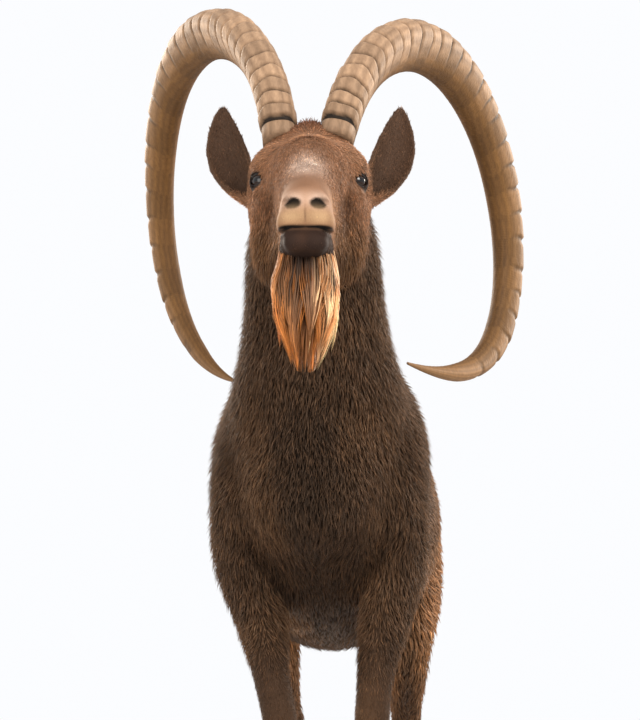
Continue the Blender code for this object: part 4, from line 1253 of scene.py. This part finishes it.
def horn_mesh(name):
    edges, strengths = slab_profile(name)
    line = horn_line(name)
    _, base, base_along, base_front = line[0]
    sunk = [
        (-s, base - base_along * s * HORN_LENGTH, base_along, base_front)
        for s in (0.018, 0.009)
    ]
    angles = 2 * np.pi * (np.arange(HORN_SIDES) + 0.5) / HORN_SIDES
    cosine, sine = np.cos(angles), np.sin(angles)
    x = np.sign(cosine) * abs(cosine) ** 0.82
    y = np.sign(sine) * abs(sine) ** 0.82
    narrow = 1.0 - 0.20 * (1 - y) / 2
    draw = np.random.default_rng(12)
    wobble = draw.uniform(0, 6.28, 6)
    points, colours = [], []
    pale, tan, brown, groove = (
        linear(166, 134, 106), linear(122, 87, 50), linear(70, 48, 29), linear(16, 11, 8)
    )
    for share, place, along, front in sunk + line:
        front = unit(front - along * (front @ along))
        across = np.cross(along, front)
        width = np.interp(share, HORN_SHARES, HORN_HALF_WIDTHS)
        depth = np.interp(share, HORN_SHARES, HORN_HALF_DEPTHS)
        uneven = 0.0022 * np.sin(angles * 2 + wobble[0])
        uneven = uneven + 0.0014 * np.sin(angles * 5 + wobble[1] + share * 60)
        here = share + uneven
        slab = np.clip(np.searchsorted(edges, here) - 1, 0, len(edges) - 2)
        t = np.clip((here - edges[slab]) / (edges[slab + 1] - edges[slab]), 0, 1)
        fade = (1 - 0.65 * share) * (1 - smooth_step(share, 0.82, 0.95)) * (share > 0)
        rise = smooth_step(t, 0.02, 0.22) * (1 - smooth_step(t, 0.86, 1.0))
        reach = np.clip((y + 0.45) / 0.9, 0, 1)
        lift = 0.0058 * fade * strengths[slab] * (0.55 + 0.45 * t) * rise * reach
        fine = 0.00035 * np.sin(here * HORN_LENGTH * 6.28 / 0.0042 + wobble[2]) * (1 - reach * 0.7)
        w = (width - 0.0023 + lift * 0.7 + fine) * narrow
        groove_depth = 0.0032 * fade * reach * (1 - smooth_step(np.minimum(t, 1 - t), 0.03, 0.14))
        d = depth - 0.0023 + lift + fine - groove_depth
        points.append(place + across * (x * w)[:, None] + front * (y * d)[:, None])
        # Paler on the front face, less so towards the tip.
        pale_front = np.clip(reach * 1.2, 0, 1)[:, None] * (1 - smooth_step(share, 0.15, 0.75) * 0.75)
        shade = tan * (1 - pale_front) + pale * pale_front
        streak = 0.5 + 0.5 * np.sin(angles * 13 + 3 * np.sin(share * 25 + wobble[3]) + slab * 1.7)
        shade = shade * (1 - 0.38 * streak[:, None]) + brown * 0.38 * streak[:, None]
        shade = shade * (0.82 + 0.36 * ((slab * 0.618) % 1.0))[:, None]
        # Painted shade: the grooves between the slabs are painted nearly black, as the shade in
        # them.
        dark = (1 - smooth_step(np.minimum(t, 1 - t), 0.02, 0.13)) * reach * (fade > 0.02)
        dark = dark[:, None]
        dark = dark * (0.35 + 0.65 * (1 - smooth_step(share, 0.3, 0.9)))
        shade = shade * (1 - 0.95 * dark) + groove * 0.95 * dark
        back = smooth_step(-y, 0.2, 0.9)[:, None] * 0.4
        colours.append(shade * (1 - back) + brown * back)
    points = np.array(points) + np.array([0, CENTRING_SHIFT, 0])
    rings = len(points)
    faces = [
        (r * HORN_SIDES + i, r * HORN_SIDES + (i + 1) % HORN_SIDES,
         (r + 1) * HORN_SIDES + (i + 1) % HORN_SIDES, (r + 1) * HORN_SIDES + i)
        for r in range(rings - 1)
        for i in range(HORN_SIDES)
    ]
    faces.append(tuple(range(HORN_SIDES))[::-1])
    faces.append(tuple((rings - 1) * HORN_SIDES + i for i in range(HORN_SIDES)))
    mesh = bpy.data.meshes.new("horn_" + name)
    mesh.from_pydata(points.reshape(-1, 3).tolist(), [], faces)
    face_outwards(mesh)
    set_colour(mesh, np.array(colours).reshape(-1, 3))
    return mesh


def face_outwards(mesh):
    shape = bmesh.new()
    shape.from_mesh(mesh)
    bmesh.ops.recalc_face_normals(shape, faces=shape.faces)
    if shape.calc_volume(signed=True) < 0:
        bmesh.ops.reverse_faces(shape, faces=shape.faces)
    shape.to_mesh(mesh)
    shape.free()


horns = {name: add_object("horn_%s_dressed" % name, horn_mesh(name)) for name in HORNS}
print("horn faces", [len(h.data.polygons) for h in horns.values()])

# %% [markdown]
# ## Eyes, lids and hooves
#
# A goat's eye is dark amber with a wide, level pupil. The ball is turned so that its pole
# looks out between the lids. The lids get a dark, wet rim of their own. Each hoof has two
# claws with growth lines and a worn sole.

# %% Eyes and lid rims
EYE_RINGS = 48
EYE_SIDES = 72


def eye_axes(side):
    facing = np.array([side * EYE_FACING[0], EYE_FACING[1], EYE_FACING[2]])
    facing = unit(head_place(facing) - head_place((0, 0, 0)))
    across = unit(np.cross(facing, (0, 0, 1.0)))
    centre = head_place((side * EYEBALL_PLACE[0], EYEBALL_PLACE[1], EYEBALL_PLACE[2]))
    return centre + np.array([0, CENTRING_SHIFT, 0]), facing, across, np.cross(across, facing)


def eye_mesh(side):
    centre, facing, across, up = eye_axes(side)
    points, colours, faces = [], [], []
    for r in range(EYE_RINGS + 1):
        bend = math.pi * r / EYE_RINGS
        for i in range(EYE_SIDES):
            turn = 2 * math.pi * i / EYE_SIDES
            rim = across * math.cos(turn) + up * math.sin(turn)
            ray = facing * math.cos(bend) + rim * math.sin(bend)
            points.append(centre + ray * (EYEBALL_RADIUS - 0.0003))
            wide, high = math.sin(bend) * math.cos(turn), math.sin(bend) * math.sin(turn)
            spread = math.hypot(wide, high)
            iris = linear(46, 29, 17) * (0.75 + 0.25 * math.cos(turn * 22))
            pupil = abs(wide) < 0.36 and abs(high) < 0.17
            shade = linear(6, 4, 4) if pupil else iris
            if spread > 0.60:
                shade = linear(30, 20, 15)
            colours.append(shade)
    for r in range(EYE_RINGS):
        for i in range(EYE_SIDES):
            j = (i + 1) % EYE_SIDES
            a, b = r * EYE_SIDES, (r + 1) * EYE_SIDES
            faces.append((a + i, a + j, b + j, b + i))
    mesh = bpy.data.meshes.new("eye")
    mesh.from_pydata([tuple(p) for p in points], [], faces)
    set_colour(mesh, np.array(colours))
    shape = bmesh.new()
    shape.from_mesh(mesh)
    bmesh.ops.remove_doubles(shape, verts=shape.verts, dist=1e-6)
    bmesh.ops.recalc_face_normals(shape, faces=shape.faces)
    shape.to_mesh(mesh)
    shape.free()
    return mesh


def lid_mesh(side):
    """A thin dark rim that follows the opening between the lids."""
    centre, facing, across, up = eye_axes(side)
    if across[1] > 0:
        across = -across
    points, faces = [], []
    around, tube = 72, 8
    for i in range(around):
        turn = 2 * math.pi * i / around
        c, s = math.cos(turn), math.sin(turn)
        long = LID_HALF_LENGTH * 1.0 * c
        high = LID_HALF_HEIGHT * 0.98 * s * (1 - 0.20 * c * c)
        ray = across * long + up * high
        out = math.sqrt(max(0.0168**2 - ray @ ray, 0.0))
        spot = centre + ray + facing * out
        radial = unit(spot - centre)
        outward = unit(ray)
        thick = 0.0015 if s > 0 else 0.0011
        for k in range(tube):
            a = 2 * math.pi * k / tube
            points.append(spot + (radial * math.sin(a) + outward * math.cos(a)) * thick)
    for i in range(around):
        for k in range(tube):
            a, b = i * tube, ((i + 1) % around) * tube
            n = (k + 1) % tube
            faces.append((a + k, a + n, b + n, b + k))
    mesh = bpy.data.meshes.new("lid_rim")
    mesh.from_pydata([tuple(p) for p in points], [], faces)
    face_outwards(mesh)
    return mesh


SIDES = {"left": LEFT, "right": RIGHT}
eyes = {name: add_object("eye_%s_dressed" % name, eye_mesh(side)) for name, side in SIDES.items()}
lids = [add_object("lid_rim_" + name, lid_mesh(side)) for name, side in SIDES.items()]

# %% Hooves
HOOF_FRONT = 0.052
HOOF_BACK = 0.030
HOOF_SLOPE = (HOOF_FRONT - HOOF_BACK) / 0.058


def hoof_mesh(side, foot, turn):
    """One half of a cloven hoof. Turn says which half: -1 the inner, 1 the outer."""
    out, along = foot
    centre = side * out + turn * side * 0.0133
    inner = -turn * side
    levels, sides = 22, 48
    points, faces = [], []
    for level in range(levels):
        share = level / (levels - 1)
        lines = 0.0003 * math.sin(share * 38) - 0.0003
        for i in range(sides):
            angle = 2 * math.pi * (i + 0.5) / sides
            c, s = math.cos(angle), math.sin(angle)
            reach = 0.037 - 0.014 * share if s < 0 else 0.027 - 0.002 * share
            y = s * (reach + lines) + 0.004 * share
            x = c * 0.0120 * (1.0 - 0.12 * share)
            if c * inner > 0:
                x = math.copysign(min(abs(c) * 1.5, 1.0) * 0.0110, c)
            else:
                x = x * (1.0 - 0.42 * max(0.0, -s) ** 2) * (1 + lines * 40)
            top = HOOF_FRONT - (y + 0.026) * HOOF_SLOPE
            points.append((centre + x, along + y + CENTRING_SHIFT, share * top))
    for level in range(levels - 1):
        for i in range(sides):
            a, b, j = level * sides, (level + 1) * sides, (i + 1) % sides
            faces.append((a + i, a + j, b + j, b + i))
    faces.append(tuple(range(sides))[::-1])
    faces.append(tuple((levels - 1) * sides + i for i in range(sides)))
    mesh = bpy.data.meshes.new("hoof")
    mesh.from_pydata(points, [], faces)
    face_outwards(mesh)
    return mesh


hooves = {}
for end, feet in (("front", FOREFEET), ("hind", HINDFEET)):
    for name, side in (("left", LEFT), ("right", RIGHT)):
        for half, turn in (("inner", -1), ("outer", 1)):
            node = "hoof_%s_%s_%s" % (end, name, half)
            hooves[node] = add_object(node + "_dressed", hoof_mesh(side, feet[name], turn))
print("hooves", len(hooves))

# %% [markdown]
# ## The beard
#
# Long strands hang from the chin in about seventy locks. Each strand leaves the chin, swells
# outwards, and its tip is drawn to the tip of its lock. The middle is dark brown, the outer
# locks are ginger on the animal's right side and almost blond on its left, partly their own
# colour and partly painted rim light. Near the chin the strands are painted dark as the shadow
# under it.

# %% Strands of the beard
BEARD_TOP = -0.1505
BEARD_CENTRE = -0.112
BEARD_LENGTH = 0.148
BEARD_SHAPE = (
    (0.000, 0.000, 0.046, 0.048),
    (0.035, -0.004, 0.046, 0.043),
    (0.075, -0.010, 0.043, 0.036),
    (0.115, -0.016, 0.036, 0.028),
    (0.150, -0.020, 0.024, 0.018),
)
LOCKS = 72
GOLDEN_SHARE = 0.618
TURN = 6.2832
STRANDS = 2700
BEARD_RINGS = 8


def beard_spots(depth, angle, fullness):
    """Points of the beard at depths below the chin and angles round it."""
    rows = np.array(BEARD_SHAPE)
    forward, half, deep = (np.interp(depth, rows[:, 0], rows[:, i]) for i in (1, 2, 3))
    x = np.cos(angle) * half * fullness
    y = BEARD_CENTRE + forward + np.sin(angle) * deep * fullness - YAW_PIVOT
    c, s = math.cos(HEAD_YAW), math.sin(HEAD_YAW)
    lengthways = x * s + y * c + YAW_PIVOT + EYE_FORWARD + CENTRING_SHIFT
    return np.stack([x * c - y * s, lengthways, BEARD_TOP - depth + EYE_LEVEL], -1)


def beard_mesh():
    draw = np.random.default_rng(21)
    lock_angle = 2 * np.pi * (np.arange(LOCKS) * GOLDEN_SHARE % 1.0)
    lock_full = np.sqrt((np.arange(LOCKS) + 0.5) / LOCKS)
    lock_end = BEARD_LENGTH * (1.06 - 0.30 * lock_full**2) * draw.uniform(0.74, 1.08, LOCKS)
    lock_start = -0.024 + draw.uniform(0, 0.012, LOCKS)
    lock_sway = draw.uniform(-0.35, 0.35, LOCKS)
    owner = np.arange(STRANDS) % LOCKS
    t = np.linspace(0, 1, BEARD_RINGS)[None]
    angle = lock_angle[owner] + draw.normal(0, 0.20, STRANDS)
    full = np.clip(lock_full[owner] + draw.normal(0, 0.10, STRANDS), 0.02, 1.0)
    end = lock_end[owner] * draw.uniform(0.72, 1.08, STRANDS)
    start = lock_start[owner] + draw.uniform(-0.004, 0.016, STRANDS)
    depth = start[:, None] + (end - start)[:, None] * t
    pull = t**1.5 * 0.8
    own = angle[:, None] * (1 - pull) + lock_angle[owner][:, None] * pull
    own = own + lock_sway[owner][:, None] * t**2
    wave = 0.13 * np.sin(t * 7.5 + draw.uniform(0, 6.28, LOCKS)[owner][:, None]) * t
    out = full[:, None] * (1 - pull) + lock_full[owner][:, None] * pull
    out = out * (0.80 + 0.22 * np.sin(t * 2.6)) + wave
    paths = beard_spots(np.minimum(depth, BEARD_LENGTH), own, np.clip(out, 0, 1.03))
    outward = unit(beard_spots(np.minimum(depth, 0.149), own, out + 0.2) - paths)
    tangent = unit(np.gradient(paths, axis=1))
    outward = unit(outward - tangent * (outward * tangent).sum(-1, keepdims=True))
    sideways = np.cross(outward, tangent)
    taper = np.array([1, 1, 1, 0.95, 0.85, 0.7, 0.45, 0])
    widths = draw.uniform(0.0014, 0.0024, STRANDS)[:, None] * taper
    right = np.cos(angle)
    dark, brown = linear(44, 33, 27), linear(104, 76, 56)
    ginger, blond = linear(186, 112, 52), linear(238, 190, 142)
    # The outer locks are painted ginger and blond, partly their own colour and partly painted rim
    # light.
    outer = smooth_step(abs(right) * full + draw.normal(0, 0.12, STRANDS), 0.25, 0.75)[:, None]
    light = np.where(right[:, None] > 0, blond, ginger * 0.8 + blond * 0.2)
    mid = brown * (1 - outer) + light * outer
    kind = draw.uniform(0, 1, LOCKS)[owner][:, None]
    mid = np.where(kind > 0.62, mid * 0.35 + ginger * 0.65, mid)
    mid = np.where(kind < 0.34 - 0.22 * outer, mid * 0.35 + dark * 0.65, mid)
    mid = mid * np.exp(draw.normal(0, 0.22, LOCKS))[owner][:, None]
    mid = mid * np.exp(draw.normal(0, 0.22, STRANDS))[:, None]
    # Painted shadow: the strands are painted dark near the chin, as the shadow under it; the outer
    # locks keep more of their own colour there.
    depths = smooth_step(depth, -0.01, 0.055)[..., None]
    colours = dark * (1 - depths) + mid[:, None] * depths
    edge = outer[:, None] * (1 - depths) * 0.75
    colours = colours * (1 - edge) + mid[:, None] * edge
    low = smooth_step(depth, 0.05, 0.12)[..., None] * 0.28
    colours = colours * (1 - low) + np.array(ginger) * 1.15 * low
    colours = colours * (1 + 0.30 * t[..., None] ** 2)
    spots = np.stack([0.012 + (angle % TURN) / TURN * 0.16, 0.985 - 0.16 * full], -1)
    return strand_mesh("beard_hair", paths, sideways, outward, widths, colours, spots)


beard = place_object("beard_hair", beard_mesh())
print("beard faces", len(beard.data.polygons))

# %% [markdown]
# ## Materials
#
# Each material reads the painted tint and adds the fine unevenness of its stuff through one
# shared group, which gives a value for colour and a height for bump.

# %% A shared group for fine grain
def make_grain_group():
    group = bpy.data.node_groups.new("fine grain", "ShaderNodeTree")
    group.interface.new_socket("Scale", in_out="INPUT", socket_type="NodeSocketFloat")
    group.interface.new_socket("Stretch", in_out="INPUT", socket_type="NodeSocketVector")
    group.interface.new_socket("Value", in_out="OUTPUT", socket_type="NodeSocketFloat")
    nodes, links = group.nodes, group.links
    start = nodes.new("NodeGroupInput")
    end = nodes.new("NodeGroupOutput")
    place = nodes.new("ShaderNodeTexCoord")
    stretch = nodes.new("ShaderNodeVectorMath")
    stretch.operation = "MULTIPLY"
    noise = nodes.new("ShaderNodeTexNoise")
    noise.inputs["Detail"].default_value = 4.0
    links.new(place.outputs["Object"], stretch.inputs[0])
    links.new(start.outputs["Stretch"], stretch.inputs[1])
    links.new(stretch.outputs[0], noise.inputs["Vector"])
    links.new(start.outputs["Scale"], noise.inputs["Scale"])
    links.new(noise.outputs["Fac"], end.inputs["Value"])
    return group


grain_group = make_grain_group()


def make_material(name, roughness, grain, bump, variation, specular=0.4, coat=0.0, plain=None):
    """A finish that reads the painted tint, with grain in its colour and its relief."""
    material = bpy.data.materials.new(name)
    material.use_nodes = True
    nodes, links = material.node_tree.nodes, material.node_tree.links
    shader = nodes["Principled BSDF"]
    shader.inputs["Roughness"].default_value = roughness
    shader.inputs["Specular IOR Level"].default_value = specular
    shader.inputs["Coat Weight"].default_value = coat
    shader.inputs["Coat Roughness"].default_value = 0.03
    if plain is None:
        tint = nodes.new("ShaderNodeVertexColor")
        tint.layer_name = "Tint"
        colour = tint.outputs["Color"]
    else:
        tint = nodes.new("ShaderNodeRGB")
        tint.outputs[0].default_value = (*plain, 1.0)
        colour = tint.outputs[0]
    fine = nodes.new("ShaderNodeGroup")
    fine.node_tree = grain_group
    fine.inputs["Scale"].default_value = grain
    fine.inputs["Stretch"].default_value = (1.0, 1.0, 0.35)
    spread = nodes.new("ShaderNodeMapRange")
    spread.inputs["To Min"].default_value = 1.0 - variation
    spread.inputs["To Max"].default_value = 1.0 + variation
    links.new(fine.outputs["Value"], spread.inputs["Value"])
    mixed = nodes.new("ShaderNodeVectorMath")
    mixed.operation = "SCALE"
    links.new(colour, mixed.inputs[0])
    links.new(spread.outputs["Result"], mixed.inputs["Scale"])
    links.new(mixed.outputs[0], shader.inputs["Base Color"])
    if bump:
        relief = nodes.new("ShaderNodeBump")
        relief.inputs["Strength"].default_value = bump
        relief.inputs["Distance"].default_value = 0.001
        links.new(fine.outputs["Value"], relief.inputs["Height"])
        links.new(relief.outputs["Normal"], shader.inputs["Normal"])
    return material


skin_material = make_material("skin and nose", 0.72, 900.0, 0.35, 0.22, 0.12)
coat_material = make_material("coat hair", 0.60, 60.0, 0.0, 0.25, 0.14)
beard_material = make_material("beard hair", 0.50, 80.0, 0.0, 0.20, 0.20)
horn_material = make_material("horn", 0.62, 260.0, 0.7, 0.34, 0.20)
eye_material = make_material("wet eye", 0.10, 40.0, 0.0, 0.05, 0.25, 0.35)
lid_material = make_material("wet lid", 0.30, 400.0, 0.1, 0.1, 0.5, 0.3, tuple(linear(28, 20, 17)))
hoof_tint = tuple(linear(58, 50, 44))
hoof_material = make_material("hoof horn", 0.45, 220.0, 0.4, 0.25, 0.4, 0.0, hoof_tint)

# %% [markdown]
# ## What each piece stands for
#
# The skin and the coat replace the flesh of the solids, and every other piece replaces its
# own solid.

# %% Give out materials and places in the frame
FLESH = ["torso", "neck", "head", "tail", "ear_left", "ear_right"]
FLESH += [
    "%s_%s_%s" % (leg, part, side)
    for leg in ("foreleg", "hindleg")
    for part in ("upper", "lower")
    for side in ("left", "right")
]


def dress(item, material, slot, *nodes):
    item.data.materials.append(material)
    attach(item, "root")
    if nodes:
        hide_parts(*nodes)


dress(skin, skin_material, "coat_dark", *FLESH)
for piece in coat_pieces:
    dress(piece, coat_material, "coat_dark")
dress(beard, beard_material, "coat_ginger", "beard")
for name, horn in horns.items():
    dress(horn, horn_material, "horn_keratin", "horn_" + name)
for name, eye in eyes.items():
    dress(eye, eye_material, "eye_glass", "eye_" + name)
for lid in lids:
    dress(lid, lid_material, "eye_glass")
for node, hoof in hooves.items():
    dress(hoof, hoof_material, "hoof_keratin", node)

# %% [markdown]
# ## Floor, light and air
#
# A pale floor under a near-white sky. A large, soft key light stands in front on the animal's
# left, a weaker one fills from its right, and two warm lights behind edge the coat.

# %% Floor and lights
FLOOR_HALF = 30
FLOOR_COLOUR = (0.52, 0.52, 0.515, 1)
SKY_COLOUR = (0.97, 0.98, 1.0, 1.0)
WARM_WHITE = (1.0, 0.97, 0.93)


def add_floor():
    mesh = bpy.data.meshes.new("floor")
    h = FLOOR_HALF
    mesh.from_pydata([(-h, -h, 0), (h, -h, 0), (h, h, 0), (-h, h, 0)], [], [(0, 1, 2, 3)])
    floor = place_object("floor", mesh)
    finish = bpy.data.materials.new("pale floor")
    finish.use_nodes = True
    shader = finish.node_tree.nodes["Principled BSDF"]
    shader.inputs["Base Color"].default_value = FLOOR_COLOUR
    shader.inputs["Roughness"].default_value = 0.8
    mesh.materials.append(finish)


def add_light(name, place, target, size, power, colour):
    lamp = bpy.data.lights.new(name, "AREA")
    lamp.size = size
    lamp.energy = power
    lamp.color = colour
    item = place_object(name, lamp)
    item.location = place
    item.rotation_euler = (Vector(target) - Vector(place)).to_track_quat("-Z", "Y").to_euler()


add_floor()
add_light("key", (2.6, -3.4, 3.2), (0, -0.4, 1.0), 1.6, 150.0, WARM_WHITE)
add_light("front", (-2.2, -3.6, 1.6), (0, -0.4, 0.9), 2.2, 60.0, (1.0, 0.95, 0.90))
add_light("rim left", (-2.4, 2.4, 2.6), (0, -0.2, 1.0), 1.4, 170.0, (1.0, 0.88, 0.74))
add_light("rim right", (2.8, 2.2, 2.4), (0, -0.2, 1.0), 1.4, 170.0, (1.0, 0.90, 0.78))

world = bpy.data.worlds.new("pale air")
world.use_nodes = True
world.node_tree.nodes["Background"].inputs["Color"].default_value = SKY_COLOUR
world.node_tree.nodes["Background"].inputs["Strength"].default_value = 1.0
bpy.context.scene.world = world
bpy.context.scene.view_settings.view_transform = "Standard"
